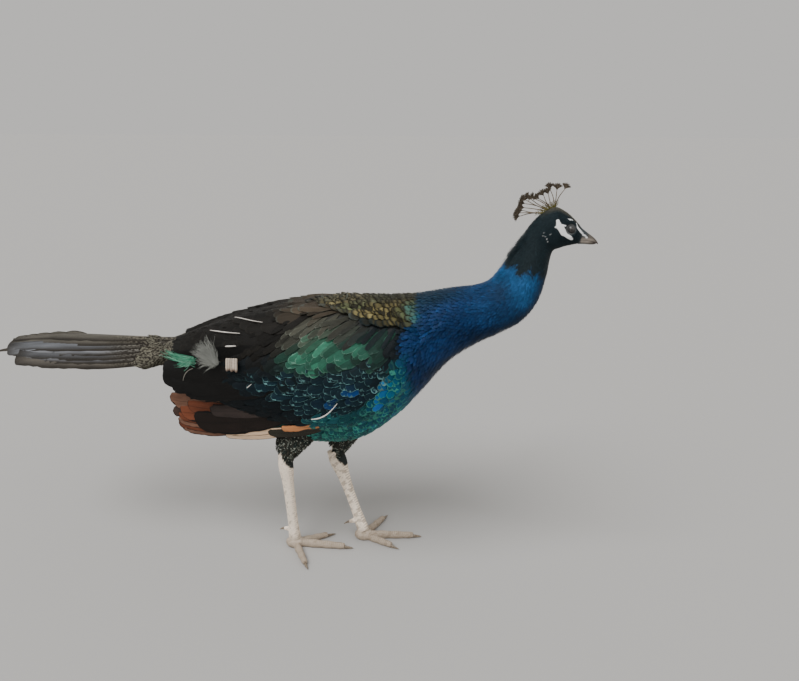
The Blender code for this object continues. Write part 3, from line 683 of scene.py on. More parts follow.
class Field:
    """Staggered rows of roots over a stretch of the body, between two places and two angles.

    spacing is two tuples: places, and the metres between roots at them.
    """

    def __init__(self, start, end, spacing, row_step, rng, low=-math.pi / 2, high=1.5 * math.pi):
        self.start, self.end, self.low, self.high = start, end, low, high
        reaches, angles, sizes = [], [], []
        ring = np.linspace(low, high, 181)
        reach, row = reach_at(start), 0
        last = reach_at(end)
        while reach < last:
            size = np.interp(place_at(reach), *spacing)
            round_it = girth_positions(reach, ring)
            count = max(int(round_it[-1] / size), 2)
            along_ring = (np.arange(count) + (0.25, 0.75)[row % 2]) / count * round_it[-1]
            angles.append(np.interp(along_ring, round_it, ring))
            reaches.append(np.full(count, reach))
            sizes.append(np.full(count, size))
            reach += size * row_step
            row += 1
        self.reach, self.angle, self.size = map(np.concatenate, (reaches, angles, sizes))
        self.reach = self.reach + self.size * rng.normal(0, 0.10, len(self.reach))
        self.angle = self.angle + rng.normal(0, 0.10, len(self.angle)) * self.size / 0.08
        self.measure()

    def measure(self):
        self.place = place_at(self.reach)
        self.side = side_angle(self.angle)
        self.points = body_surface(self.reach, self.angle, 0.0)

    def keep(self, wanted):
        self.reach, self.angle, self.size = self.reach[wanted], self.angle[wanted], self.size[wanted]
        self.measure()

    def unwrap(self):
        return ((self.angle - self.low) / (self.high - self.low),
                np.clip((self.place - self.start) / (self.end - self.start), 0, 1))


def coat(batch, field, shape, rng, length=1.9, width=1.15, down=0.0, lift=0.0, wild=0.06,
         shade=0.12, overlap=0.0, colours=None, surface=body_surface):
    """Feathers on every root of a field; sizes are parts of the field's spacing."""
    count = len(field.reach)
    long = field.size * length * rng.uniform(0.88, 1.12, count)
    broad = field.size * width * rng.uniform(0.92, 1.08, count)
    downward = -np.cos(field.angle) / np.maximum(np.abs(np.cos(field.angle)), 0.25)
    turn = down * downward + rng.normal(0, wild, count)
    depth = np.minimum(coat_depth(field.place) * 0.85, long * 0.45)
    tips = lift * field.size * rng.uniform(0.5, 1.5, count)
    roll = rng.normal(0, 0.02, count) - overlap * np.sign(np.cos(field.angle))
    points = lay_feathers(surface, shape, field.reach, field.angle, long, broad, turn, depth,
                          tips, roll, rng)
    places = place_at(field.reach - 0.6 * long)
    tint, rim = colours or body_colours(places, field.side, points[:, shape.middle])
    tint, rim = (np.broadcast_to(paints, (count, 3)) for paints in (tint, rim))
    brightness = np.exp(rng.normal(0, shade, (count, 1, 1)))
    batch.add(points, shape.faces, shape.vane, bake_places(*field.unwrap(), shape),
              tint[:, None] * brightness, rim[:, None] * brightness)


def make_coat(name, slot, material, field, shape, rng, **settings):
    """A piece that is one field of feathers."""
    batch = Batch()
    coat(batch, field, shape, rng, **settings)
    batch.make(name, material)


def ribbons(batch, shape, start, handle, end, up, width, tint, rim, bake, rng):
    """Long feathers or barbs on curves from start to end that lean towards a handle.

    up is the one direction that all their arched sides face.
    """
    length = np.linalg.norm(end - start, axis=-1)
    ahead, aside = shape.outline(length, width, rng)
    part = (ahead / length[:, None])[..., None]
    start, handle, end = start[:, None], handle[:, None], end[:, None]
    spine = (1 - part) ** 2 * start + 2 * part * (1 - part) * handle + part ** 2 * end
    along = unit((1 - part) * (handle - start) + part * (end - handle))
    sideways = unit(np.cross(up, along))
    normal = np.cross(along, sideways)
    points = spine + sideways * aside[..., None] + normal * shape.rise(width)[..., None]
    rim = np.broadcast_to(rim, tint.shape)
    batch.add(points, shape.faces, shape.vane, bake, tint[:, None], rim[:, None])


# ---------------------------------------------------------------- materials
class Paint:
    """Builds a material's nodes in plain steps."""

    def __init__(self, name, roughness, **sockets):
        self.material = bpy.data.materials.new(name)
        self.material.use_nodes = True
        self.nodes = self.material.node_tree.nodes
        self.links = self.material.node_tree.links
        self.shader = self.nodes["Principled BSDF"]
        self.shader.inputs["Roughness"].default_value = roughness
        for socket, value in sockets.items():
            self.shader.inputs[socket.replace("_", " ")].default_value = value

    def put(self, value, socket):
        if isinstance(value, bpy.types.NodeSocket):
            self.links.new(value, socket)
        elif isinstance(value, (tuple, list, np.ndarray)):
            socket.default_value = (*value, 1.0)[:len(socket.default_value)]
        else:
            socket.default_value = value

    def math(self, operation, *values):
        node = self.nodes.new("ShaderNodeMath")
        node.operation = operation
        for value, socket in zip(values, node.inputs):
            self.put(value, socket)
        return node.outputs[0]

    def scaled(self, value, factor, offset):
        return self.math("MULTIPLY_ADD", value, factor, offset)

    def between(self, value, low, high):
        """Value turned so that low gives 0 and high gives 1."""
        node = self.nodes.new("ShaderNodeMapRange")
        node.interpolation_type = "SMOOTHSTEP"
        for number, socket in zip((value, low, high), node.inputs):
            self.put(number, socket)
        return node.outputs[0]

    def blend(self, first, second, part, how="MIX"):
        node = self.nodes.new("ShaderNodeMix")
        node.data_type = "RGBA"
        node.blend_type = how
        self.put(part, node.inputs[0])
        self.put(first, node.inputs[6])
        self.put(second, node.inputs[7])
        return node.outputs[2]

    def outside(self, value, low, high):
        """1 up to low and 0 from high."""
        return self.math("SUBTRACT", 1.0, self.between(value, low, high))

    def shaded(self, colour, shade):
        """A colour made lighter or darker by one number."""
        grey = self.nodes.new("ShaderNodeCombineColor")
        for socket in grey.inputs[:3]:
            self.put(shade, socket)
        return self.blend(colour, grey.outputs[0], 1.0, "MULTIPLY")

    def colours(self, name):
        node = self.nodes.new("ShaderNodeAttribute")
        node.attribute_name = name
        return node.outputs["Color"]

    def map(self, name):
        node = self.nodes.new("ShaderNodeUVMap")
        node.uv_map = name
        parts = self.nodes.new("ShaderNodeSeparateXYZ")
        self.links.new(node.outputs[0], parts.inputs[0])
        return parts.outputs[0], parts.outputs[1]

    def noise(self, scale, detail=3.0, length=(1, 1, 1), rise=0.0):
        """Noise with features drawn out by length, on lines that rise forward by some degrees."""
        place = self.nodes.new("ShaderNodeTexCoord")
        mapping = self.nodes.new("ShaderNodeMapping")
        mapping.vector_type = "TEXTURE"
        mapping.inputs["Scale"].default_value = length
        mapping.inputs["Rotation"].default_value = (0, -math.radians(rise), 0)
        node = self.nodes.new("ShaderNodeTexNoise")
        node.inputs["Scale"].default_value = scale
        node.inputs["Detail"].default_value = detail
        self.links.new(place.outputs["Object"], mapping.inputs[0])
        self.links.new(mapping.outputs[0], node.inputs["Vector"])
        return node.outputs[0]

    def cells(self, scale):
        """Distance to the edge of small cells."""
        place = self.nodes.new("ShaderNodeTexCoord")
        node = self.nodes.new("ShaderNodeTexVoronoi")
        node.feature = "DISTANCE_TO_EDGE"
        node.inputs["Scale"].default_value = scale
        self.links.new(place.outputs["Object"], node.inputs["Vector"])
        return node.outputs["Distance"]

    def bump(self, height, strength, distance):
        node = self.nodes.new("ShaderNodeBump")
        node.inputs["Strength"].default_value = strength
        node.inputs["Distance"].default_value = distance
        self.put(height, node.inputs["Height"])
        self.links.new(node.outputs[0], self.shader.inputs["Normal"])

    def colour(self, value):
        self.put(value, self.shader.inputs["Base Color"])
        return self.material


FEATHER_SHADE = 0.86
BODY_SKIN_SHADE = 0.85
MOTTLE = paint(38, 33, 27)


def vane_parts(made):
    """Sockets for the distance off the shaft and the distance along the feather, from 0 to 1."""
    u, along = made.map("Vane")
    across = made.math("ABSOLUTE", made.scaled(u, 2.0, -1.0))
    return across, along


def barbs_of(made, across, along, count):
    """A wave across fine barbs that slant off the shaft."""
    slant = made.scaled(across, -0.55, along)
    return made.math("SINE", made.math("MULTIPLY", slant, count * 2 * math.pi))


def plumage(name, roughness=0.45, rim_from=0.88, rim_to=0.96, barbs=26.0, shaft=0.0, contrast=0.25,
            slim=1.0, broken=0.0, grain=(180.0, (1, 1, 1), 0.0)):
    """Feathers: a rim of another colour, fine barbs that slant off the shaft, and a little wear.

    slim is a feather's length in half widths, so that the rim is as narrow at the tip as at the
    sides; broken is how much of the rim is worn away; grain is the scale, length and rise of the wear.
    """
    made = Paint(name, roughness, Specular_IOR_Level=0.12)
    across, along = vane_parts(made)
    tip = made.scaled(along, slim, 1.0 - slim)
    edge = made.between(made.math("MAXIMUM", across, tip), rim_from, rim_to)
    if broken:
        kept = made.between(made.noise(110.0, 2.0), broken - 0.10, broken + 0.12)
        edge = made.math("MULTIPLY", edge, kept)
    colour = made.blend(made.colours("Tint"), made.colours("Rim"), edge)
    strands = barbs_of(made, across, along, barbs)
    scale, length, rise = grain
    worn = made.noise(scale, 4.0, length, rise)
    shade = made.scaled(worn, 2 * contrast * FEATHER_SHADE, (1 - contrast) * FEATHER_SHADE)
    shade = made.scaled(strands, 0.10 * FEATHER_SHADE, shade)
    if shaft:
        shade = made.scaled(made.outside(across, 0.02, 0.07), shaft, shade)
    made.bump(made.scaled(strands, 0.5, worn), 0.35, 0.0004)
    return made.colour(made.shaded(colour, shade))


def long_feather(name, roughness, rim_from, rim_to, tip_from=0.985, tip_to=0.995, mottle_to=0.0,
                 fade=0.7):
    """A long feather: shaft, slanting barbs, streaks along it, a dark rim and mottles at its base."""
    made = Paint(name, roughness, Specular_IOR_Level=0.15)
    across, along = vane_parts(made)
    edge = made.math("MAXIMUM", made.between(across, rim_from, rim_to),
                     made.between(along, tip_from, tip_to))
    tint, strands = made.colours("Tint"), barbs_of(made, across, along, 120.0)
    streaks = made.noise(60.0, 4.0, (4.0, 0.5, 0.5))
    if mottle_to:
        base = made.outside(along, mottle_to * 0.5, mottle_to * 1.1)
        tint = made.blend(tint, TAIL_BASE, made.math("MULTIPLY", base, fade))
    colour = made.blend(tint, made.colours("Rim"), edge)
    if mottle_to:
        patches = made.between(made.noise(400.0, 2.0, (1.5, 1.0, 1.0)), 0.46, 0.56)
        colour = made.blend(colour, MOTTLE, made.math("MULTIPLY", patches, base))
    shade = made.scaled(streaks, 1.3 * FEATHER_SHADE, 0.35 * FEATHER_SHADE)
    shade = made.scaled(strands, 0.06 * FEATHER_SHADE, shade)
    shade = made.scaled(made.outside(across, 0.015, 0.05), -0.35, shade)
    made.bump(made.scaled(strands, 0.5, streaks), 0.4, 0.0005)
    return made.colour(made.shaded(colour, shade))


def skin_paint():
    """Skin under the coat, fine grain on the bare face, and small scales on the legs."""
    made = Paint("skin", 0.62, Specular_IOR_Level=0.3)
    on_legs = made.colours("Rim")
    cells = made.cells(430.0)
    grain = made.noise(1400.0, 2.0)
    height = made.blend(grain, made.between(cells, 0.0, 0.16), on_legs)
    joints = made.between(cells, 0.02, 0.10)
    dirt = made.noise(320.0, 4.0)
    shade = made.scaled(joints, 0.22, made.scaled(dirt, 0.5, 0.60))
    shade = made.scaled(on_legs, made.scaled(shade, 1.0, -BODY_SKIN_SHADE), BODY_SKIN_SHADE)
    made.bump(height, 0.5, 0.0005)
    return made.colour(made.shaded(made.colours("Tint"), shade))


def horn(name, roughness):
    """Bill and bare shafts: dull horn with fine streaks."""
    made = Paint(name, roughness, Specular_IOR_Level=0.4)
    streaks = made.noise(500.0, 3.0, (4.0, 1.0, 1.0))
    made.bump(streaks, 0.25, 0.0003)
    return made.colour(made.shaded(made.colours("Tint"), made.scaled(streaks, 0.7, 0.62)))


# ---------------------------------------------------------------- skin
SKIN_COLUMNS = 240
TRUNK_ROWS = 130
NECK_ROWS = 90
HEAD_ROWS = 150
HEAD_PLACE = 16
EYE_PLACE = 18.9
EYE_SIDE = 12                   # degrees up the side
# Round the eye, seen from the side.
EYE_OPENING = 0.0049
EYE_OPENING_DEPTH = 0.0050
LID_RADIUS = 0.0056
LID_EDGE = 0.0005
LID_RISE = 0.0007
FOLD_RADIUS = LID_RADIUS + 0.0015
FOLD_EDGE = 0.0004
FOLD_RISE = 0.00025
LID_FOLD_PITCH = 0.0011
BODY_SKIN_TINT = 0.55           # how bright the skin is beside the coat over it, as painted shade in its gaps
LEG_VOXEL = 0.0009
LOWEST_SKIN = 0.0004            # height of the soles over the floor
SHANK_SIZE = 0.009              # about the half width of a shank
SCUTE_PITCH = 0.0042
SCUTE_RISE = 0.00045
SCUTES_FADE = (0.135, 0.160)    # heights between which the scutes run out below the hock
THIGH_COAT_DEPTH = 0.0028
LEG_SKIN = paint(250, 234, 214)
LEG_SHADE = paint(170, 150, 128)
# How far below the hock the feathers of a thigh end, at its rear and at its front.
THIGH_REAR_END = -0.024
THIGH_FRONT_END = 0.008
THIGH_FOOT_SIZE = 0.013         # half length of a thigh at its lower end

# sign is -1 on the right; root is the top of the thigh, foot is on the floor, and turn_out is the
# degrees that the foot turns out.
Leg = namedtuple("Leg", "side sign root hock foot turn_out")
LEGS = (
    Leg("right", -1, np.array([-0.150, -0.036, 0.250]), np.array([-0.180, -0.046, 0.170]),
        np.array([-0.176, -0.026, 0.014]), 1),
    Leg("left", 1, np.array([-0.078, 0.040, 0.250]), np.array([-0.114, 0.036, 0.143]),
        np.array([-0.064, 0.011, 0.014]), 6),
)
BENT_HOCK_SWELL = 0.0028        # how much fuller the left leg's bent hock is
ANKLE_HEIGHT = 0.043
# Part of the way along a limb or toe, half width and half height or length; for toes these are
# parts of the thickness.
THIGH_PROFILE = ((-0.15, 0.022, 0.030), (0.0, 0.025, 0.034), (0.35, 0.024, 0.031), (0.6, 0.021, 0.025),
                 (0.82, 0.0165, 0.018), (1.0, 0.0115, 0.0120), (1.12, 0.0105, 0.0100))
SHANK_PROFILE = ((-0.10, 0.0084, 0.0106), (0.0, 0.0090, 0.0116), (0.06, 0.0096, 0.0124),
                 (0.16, 0.0090, 0.0118), (0.32, 0.0074, 0.0097), (0.65, 0.0067, 0.0086),
                 (1.0, 0.0070, 0.0086))
ANKLE_PROFILE = ((-0.1, 0.0070, 0.0086), (0.0, 0.0070, 0.0086), (0.5, 0.0082, 0.0096),
                 (1.0, 0.0094, 0.0106))
# Middle, outer and inner toe: degrees outwards from straight ahead, length and thickness.
TOES = ((0, 0.086, 0.0068), (60, 0.064, 0.0062), (-32, 0.058, 0.0062))
TOE_PROFILE = ((0.00, 1.02, 1.10), (0.16, 0.98, 1.04), (0.28, 0.92, 0.98), (0.36, 1.06, 1.06),
               (0.55, 0.86, 0.90), (0.64, 0.98, 0.98), (0.82, 0.76, 0.80), (0.89, 0.84, 0.84),
               (1.0, 0.62, 0.64))
TOE_RISE = 0.80
HALLUX_LENGTH = 0.018
HALLUX_PROFILE = ((-0.1, 0.004, 0.0046), (0.5, 0.0040, 0.0042), (1.0, 0.0027, 0.0029))
PAD_PROFILE = ((0, 0.004, 0.004), (0.2, 0.011, 0.008), (0.5, 0.0135, 0.0095), (0.8, 0.011, 0.008),
               (1, 0.004, 0.004))
PAD_HEIGHT = 0.0062
PAD_REACH = (-0.015, 0.017)     # ends of the pad behind and ahead of the foot's middle
SHANK_FADE = (0.12, 0.55)       # part of the shank over which the fuller hock runs out


def squeeze(values, centres, widths, weights):
    """Evenly spaced values from 0 to 1, gathered round some centres."""
    spread = np.linspace(0, 1, 4001)
    density = np.ones_like(spread)
    for centre, width, weight in zip(centres, widths, weights):
        density += weight * np.exp(-((spread - centre) / width) ** 2)
    total = np.concatenate([[0], np.cumsum((density[1:] + density[:-1]) / 2)])
    return np.interp(values * total[-1], total, spread)


def skin_height(points, place):
    """How far the skin lies from the outside of the coat."""
    bare = bare_white(points)
    away = eye_distance(points)
    beside = beside_eye(points, place)
    opening = (1 - smooth(EYE_OPENING - 0.0003, EYE_OPENING + 0.0003, away)) * beside
    lids = LID_RISE * np.exp(-((away - LID_RADIUS) / LID_EDGE) ** 2) * beside
    folds = FOLD_RISE * np.exp(-((away - FOLD_RADIUS) / FOLD_EDGE) ** 2) * beside
    return -coat_depth(place) * (1 - 0.8 * bare) - EYE_OPENING_DEPTH * opening + lids + folds


def body_skin():
    """The trunk, wings, neck and head as one loft, closed at the vent and at the bill."""
    length = LAST_PLACE - HEAD_PLACE
    head = squeeze(np.linspace(0, 1, HEAD_ROWS), ((EYE_PLACE - HEAD_PLACE) / length,), (0.16,), (2.5,))
    places = np.concatenate([np.linspace(0, 8, TRUNK_ROWS), np.linspace(8.08, 15.95, NECK_ROWS),
                             HEAD_PLACE + length * head])
    sides = (EYE_SIDE / 360, (180 - EYE_SIDE) / 360)
    columns = squeeze((np.arange(SKIN_COLUMNS) + 0.5) / SKIN_COLUMNS, sides, (0.045, 0.045), (3, 3))
    place, angle = np.meshgrid(places, 2 * math.pi * columns, indexing="ij")
    outside = body_surface(reach_at(place), angle, 0.0)
    points = body_surface(reach_at(place), angle, skin_height(outside, place))
    # the skin takes the coat's colours, darkened as painted shade in the gaps between feathers
    tint = BODY_SKIN_TINT * body_colours(place, side_angle(angle), outside)[0]
    tint = mix(tint, FACE_WHITE, bare_white(outside))
    away = eye_distance(outside)
    ring = (1 - smooth(0.0070, 0.0082, away)) * beside_eye(outside, place)
    # painted shade: dark rings in the folds of the lids, one each fold pitch
    crease_shade = 0.75 + 0.25 * np.cos((away - LID_RADIUS) / LID_FOLD_PITCH * 2 * math.pi)
    tint = mix(tint, LID * crease_shade[..., None], ring)
    return points.reshape(-1, 3), tint.reshape(-1, 3), grid_faces(len(places), SKIN_COLUMNS)


def smooth_profile(profile, count):
    """A profile of rows (part, sizes) with more rows."""
    return on_curve(np.array(profile), np.linspace(0, len(profile) - 1, count))


def tube(centres, wide, high, up, sides):
    """Rings (rings, sides, 3) round a line of centres; the first corner of each ring is at the top."""
    centres = np.asarray(centres)
    ahead = unit(np.gradient(centres, axis=0))
    top = unit(up - ahead * (ahead @ up)[:, None])
    aside = np.cross(ahead, top)
    turns = 2 * math.pi * np.arange(sides) / sides
    return (centres[:, None] + top[:, None] * (np.cos(turns)[:, None] * np.reshape(high, (-1, 1, 1)))
            + aside[:, None] * (np.sin(turns)[:, None] * np.reshape(wide, (-1, 1, 1))))


def line_tube(start, end, profile, up, sides=20, rows=24):
    """A tube on a straight line with a profile of (part of the way, half width, half height)."""
    rows = smooth_profile(profile, rows)
    return tube(start + (end - start) * rows[:, :1], rows[:, 1], rows[:, 2], up, sides)


def ankle_of(leg):
    """The point of a shank at the ankle's height."""
    part = (leg.hock[2] - ANKLE_HEIGHT) / (leg.hock[2] - leg.foot[2])
    return leg.hock + (leg.foot - leg.hock) * part


def toe_lines(leg):
    """Start, end and thickness of each toe that points forward."""
    for spread, length, thickness in TOES:
        turn = math.radians(leg.turn_out + spread) * leg.sign
        base = np.array([leg.foot[0], leg.foot[1], thickness * TOE_RISE])
        yield base, base + np.array([math.cos(turn), math.sin(turn), 0.0]) * length, thickness


def hallux_line(leg):
    """Start and end of the short toe behind."""
    ankle = ankle_of(leg)
    start = ankle + (leg.foot - ankle) * 0.35
    back = unit(np.array([-1.0, leg.sign * -0.25, 0.0]))
    return start, start + back * HALLUX_LENGTH - 0.003 * UP


def leg_tubes():
    """All tubes of the two legs, thighs included."""
    for leg in LEGS:
        thigh = np.array(THIGH_PROFILE) - (0, THIGH_COAT_DEPTH, THIGH_COAT_DEPTH)
        yield line_tube(leg.root, leg.hock, thigh, FORWARD, 28)
        shank = np.array(SHANK_PROFILE)
        if leg.side == "left":
            shank[:, 2] += BENT_HOCK_SWELL * (1 - smooth(*SHANK_FADE, shank[:, 0]))
        yield line_tube(leg.hock, ankle_of(leg), shank, FORWARD)
        yield line_tube(ankle_of(leg), leg.foot, ANKLE_PROFILE, FORWARD)
        for start, end, thickness in toe_lines(leg):
            yield line_tube(start, end, np.array(TOE_PROFILE) * (1, thickness, thickness), UP)
        yield line_tube(*hallux_line(leg), HALLUX_PROFILE, UP)
        base = np.array([leg.foot[0], leg.foot[1], PAD_HEIGHT])
        yield line_tube(base + PAD_REACH[0] * FORWARD, base + PAD_REACH[1] * FORWARD, PAD_PROFILE, UP)


def plain_mesh(name, points, faces):
    """A mesh still in the bird's own frame, for the modifiers."""
    mesh = bpy.data.meshes.new(name)
    mesh.from_pydata([tuple(point) for point in points], [], faces)
    return mesh


def with_modifiers(mesh, *steps):
    """The mesh after some modifiers, each a kind and its settings, with the guide object removed."""
    guide = bpy.data.objects.new("guide", mesh)
    bpy.context.scene.collection.objects.link(guide)
    for kind, settings in steps:
        modifier = guide.modifiers.new(kind.lower(), kind)
        for key, value in settings.items():
            setattr(modifier, key, value)
    graph = bpy.context.evaluated_depsgraph_get()
    made = bpy.data.meshes.new_from_object(guide.evaluated_get(graph), preserve_all_data_layers=True,
                                           depsgraph=graph)
    bpy.data.objects.remove(guide)
    return made


def read_vertices(mesh, key):
    """A vector of each vertex of a mesh, such as co or normal."""
    found = np.empty(len(mesh.vertices) * 3)
    mesh.vertices.foreach_get(key, found)
    return found.reshape(-1, 3)


def nearest_line(points, lines):
    """For each point the nearest of lines (start, end, up, size): metres along it, turn, and number."""
    best = np.full(len(points), np.inf)
    along, turn, nearest = np.zeros(len(points)), np.zeros(len(points)), np.zeros(len(points), int)
    for index, (start, end, up, size) in enumerate(lines):
        way = end - start
        part = np.clip((points - start) @ way / (way @ way), 0, 1)
        off = points - start - part[:, None] * way
        gap = np.linalg.norm(off, axis=1) / size
        ahead = unit(way)
        top = unit(up - ahead * (up @ ahead))
        here = np.arctan2(off @ np.cross(ahead, top), off @ top)
        nearer = gap < best
        best = np.where(nearer, gap, best)
        along = np.where(nearer, part * np.linalg.norm(way), along)
        turn, nearest = np.where(nearer, here, turn), np.where(nearer, index, nearest)
    return along, turn, nearest


def scutes(points):
    """Relief of the overlapping plates down the front of the shanks and on top of the toes."""
    lines = []
    for leg in LEGS:
        lines.append((leg.hock, leg.foot, FORWARD, SHANK_SIZE))
        lines += [(start, end, UP, thickness) for start, end, thickness in toe_lines(leg)]
    along, turn, nearest = nearest_line(points, lines)
    on_shank = nearest % (1 + len(TOES)) == 0
    pitch = np.where(on_shank, SCUTE_PITCH, 0.8 * SCUTE_PITCH)
    part = (along / pitch + 0.12 * np.cos(2 * turn)) % 1.0
    front = 1 - smooth(0.85, 1.15, np.abs(turn))
    plate = np.minimum(part ** 0.7, 1 - smooth(0.80, 1.0, part)) * front
    return SCUTE_RISE * (plate - 0.4 * front), plate + 0.7 * (1 - front)


def thigh_end(length, ahead):
    """Distance down a thigh where its feathers end; ahead is -1 at its rear and 1 at its front."""
    return length + THIGH_REAR_END + (THIGH_FRONT_END - THIGH_REAR_END) * smooth(-1.0, 1.0, ahead)


def bare_leg(points):
    """1 on the bare skin of the legs, below the feathers of the thighs."""
    bare = np.ones(len(points))
    for leg in LEGS:
        way = leg.hock - leg.root
        length = np.linalg.norm(way)
        down = (points - leg.root) @ way / length
        ahead = (points - leg.root - down[:, None] * way / length)[:, 0] / THIGH_FOOT_SIZE
        end = thigh_end(length, np.clip(ahead, -1, 1)) + 0.003 * ripple(points, 0.008, 43)
        here = smooth(-0.002, 0.002, down - end)
        bare = np.where(points[:, 1] * leg.sign > 0, here, bare)
    return bare


def leg_skin():
    """Both legs, fused from tubes, with scutes below the hock."""
    points, faces, start = [], [], 0
    for rings in leg_tubes():
        points.append(rings.reshape(-1, 3))
        faces += [tuple(start + np.array(face)) for face in grid_faces(*rings.shape[:2])]
        start += rings.shape[0] * rings.shape[1]
    mesh = with_modifiers(plain_mesh("legs", np.concatenate(points), faces),
                          ("REMESH", {"mode": "VOXEL", "voxel_size": LEG_VOXEL}),
                          ("SMOOTH", {"factor": 0.5, "iterations": 4}))
    points, normals = read_vertices(mesh, "co"), read_vertices(mesh, "normal")
    relief, raised = scutes(points)
    bare = bare_leg(points)
    points += normals * (relief * (1 - smooth(*SCUTES_FADE, points[:, 2])))[:, None]
    points[:, 2] = np.maximum(points[:, 2], LOWEST_SKIN)
    # random grime, plus painted shade over the whole left leg, on the side away from the key light
    grime_and_far_leg_shade = smooth(-0.1, 0.8, ripple(points, 0.006, 41) + 0.8 * ripple(points, 0.0025, 42)
                   + 0.6 * (points[:, 1] > 0) - 0.70)
    pale = mix(LEG_SHADE, LEG_SKIN, smooth(0.05, 0.5, raised))
    tint = mix(pale, LEG_SHADE * 0.8, 0.55 * grime_and_far_leg_shade)
    # painted shade: darker towards the floor, over the toes and the foot of the shanks
    tint = mix(tint, LEG_SHADE * 0.55, 0.80 * (1 - smooth(0.006, 0.030, points[:, 2])))
    # under the thigh feathers the skin is a darker copy of their colour: painted shade in the gaps
    tint = mix(0.6 * THIGH, tint, bare)
    return points, tint, bare, [tuple(face.vertices) for face in mesh.polygons]


def coloured(name, points, faces, tint, mask):
    """A mesh with its tint, and with the mask of bare legs as its rim."""
    mesh = plain_mesh(name, points, faces)
    add_colours(mesh, "Tint", tint)
    add_colours(mesh, "Rim", np.repeat(mask[:, None], 3, axis=1))
    return mesh


def make_skin():
    """One closed skin for the whole bird, legs and feet included."""
    points, tint, faces = body_skin()
    body = coloured("body", points, faces, tint, np.zeros(len(points)))
    points, tint, bare, faces = leg_skin()
    legs = bpy.data.objects.new("legs", coloured("legs", points, faces, tint, bare))
    bpy.context.scene.collection.objects.link(legs)
    mesh = with_modifiers(body, ("BOOLEAN", {"operation": "UNION", "solver": "MANIFOLD",
                                             "object": legs}))
    bpy.data.objects.remove(legs)
    mesh.name = "skin"
    mesh.materials.clear()
    mesh.transform(Matrix.Translation(AHEAD))
    mesh.shade_smooth()
    finish_piece("skin", mesh, skin_paint(),
                 ("trunk", "neck_lower", "neck_upper", "head", "wing_left", "wing_right", "thigh_left",
                  "thigh_right", "shank_left", "shank_right", "foot_left", "foot_right"))


# ---------------------------------------------------------------- coat
# Places, and the metres between the roots of the feathers at them.
HEAD_SPACING = ((16, 18, 20.7), (0.0019, 0.0017, 0.0014))
NECK_SPACING = ((8, 10, 12, 14, 16), (0.0064, 0.0048, 0.0036, 0.0026, 0.0020))
BELLY_SPACING = ((0,), (0.0096,))
MANTLE_SPACING = ((0,), (0.0092,))
COVERT_SPACING = ((2, 4, 6, 8.3), (0.0092, 0.0088, 0.0074, 0.0060))
RUMP_SPACING = ((1.6, 2.6, 3.2, 5), (0.0075, 0.0140, 0.0180, 0.0150))
VENT_SPACING = ((1.2, 2.9), (0.0070, 0.0105))
TAIL_BASE_SPACING = ((0,), (0.0085,))
# The lower edge of the rump's long feathers: places and degrees up the side.
RUMP_EDGE = ((1.6, 2.4, 3.4, 4.8, 5.5), (2, 6, 30, 56, 62))
RUMP_UNDER_MANTLE = 0.45        # how many places the rump's feathers begin under the mantle
LID_CLEAR = 0.0074              # distance from the eye inside which no feather ends
LID_CLEAR_ROOTS = 0.0076


def head_coat(rng):
    field = Field(15.9, 20.75, HEAD_SPACING, 0.85, rng)
    tip = body_surface(field.reach - field.size * 1.2, field.angle, 0.0)
    clear = (bare_white(field.points) < 0.3) & (bare_white(tip) < 0.5)
    clear &= (eye_distance(tip) > LID_CLEAR) & (eye_distance(field.points) > LID_CLEAR_ROOTS)
    field.keep(clear)
    make_coat("coat_head", "plumage_head", plumage("plumage_head", 0.55), field,
              Shape(4, 3, tip=0.5, arch=0.10), rng, length=2.3, width=1.1, shade=0.12, lift=0.15)


def neck_coat(rng):
    field = Field(7.2, 15.95, NECK_SPACING, 0.80, rng)
    start = np.where(field.side > 8, wing_front(field.side), 7.9)
    field.keep((mantle_part(field.place, field.side) < 0.5) & (field.place > start))
    nape = smooth(30, 60, field.side) * smooth(12.6, 13.8, field.place)
    nape = nape * (1 - smooth(15.0, 15.9, field.place))
    nape = nape * smooth(-0.6, 0.6, ripple(field.points, 0.009, 36))
    make_coat("coat_neck", "plumage_neck", plumage("plumage_neck", 0.42), field,
              Shape(5, 3, tip=0.55, arch=0.10), rng, length=2.4 + 0.8 * nape, width=1.05, shade=0.16,
              lift=0.08 + 0.9 * nape)


def belly_coat(rng):
    field = Field(1.0, 8.1, BELLY_SPACING, 1.0, rng)
    bottom = wing_edges(field.place)[1]
    field.keep((field.side < bottom + 1) | ((field.place > wing_front(field.side)) & (field.side < 9)))
    make_coat("coat_belly", "plumage_back", plumage("plumage_belly", 0.5, 0.93, 0.98), field,
              Shape(8, 7, tip=0.85, arch=0.06, ragged=0.14), rng, length=3.0, width=1.7, down=0.10,
              lift=0.03, overlap=0.03, shade=0.25)


def mantle_coat(rng):
    field = Field(4.4, 8.35, MANTLE_SPACING, 0.85, rng, 0.0, math.pi)
    field.size = field.size * rng.uniform(0.85, 1.15, len(field.size))
    field.keep(mantle_part(field.place, field.side) > 0.4)
    make_coat("coat_mantle", "plumage_back", plumage("plumage_mantle", 0.5, 0.70, 0.96), field,
              Shape(7, 7, tip=0.95, arch=0.13), rng, length=2.0, width=1.45, lift=0.02, shade=0.22)


def both_sides(low, high):
    """The range of angles between two heights up the side, in degrees, on the left and right."""
    low, high = math.radians(low), math.radians(high)
    return (low, high), (math.pi - high, math.pi - low)


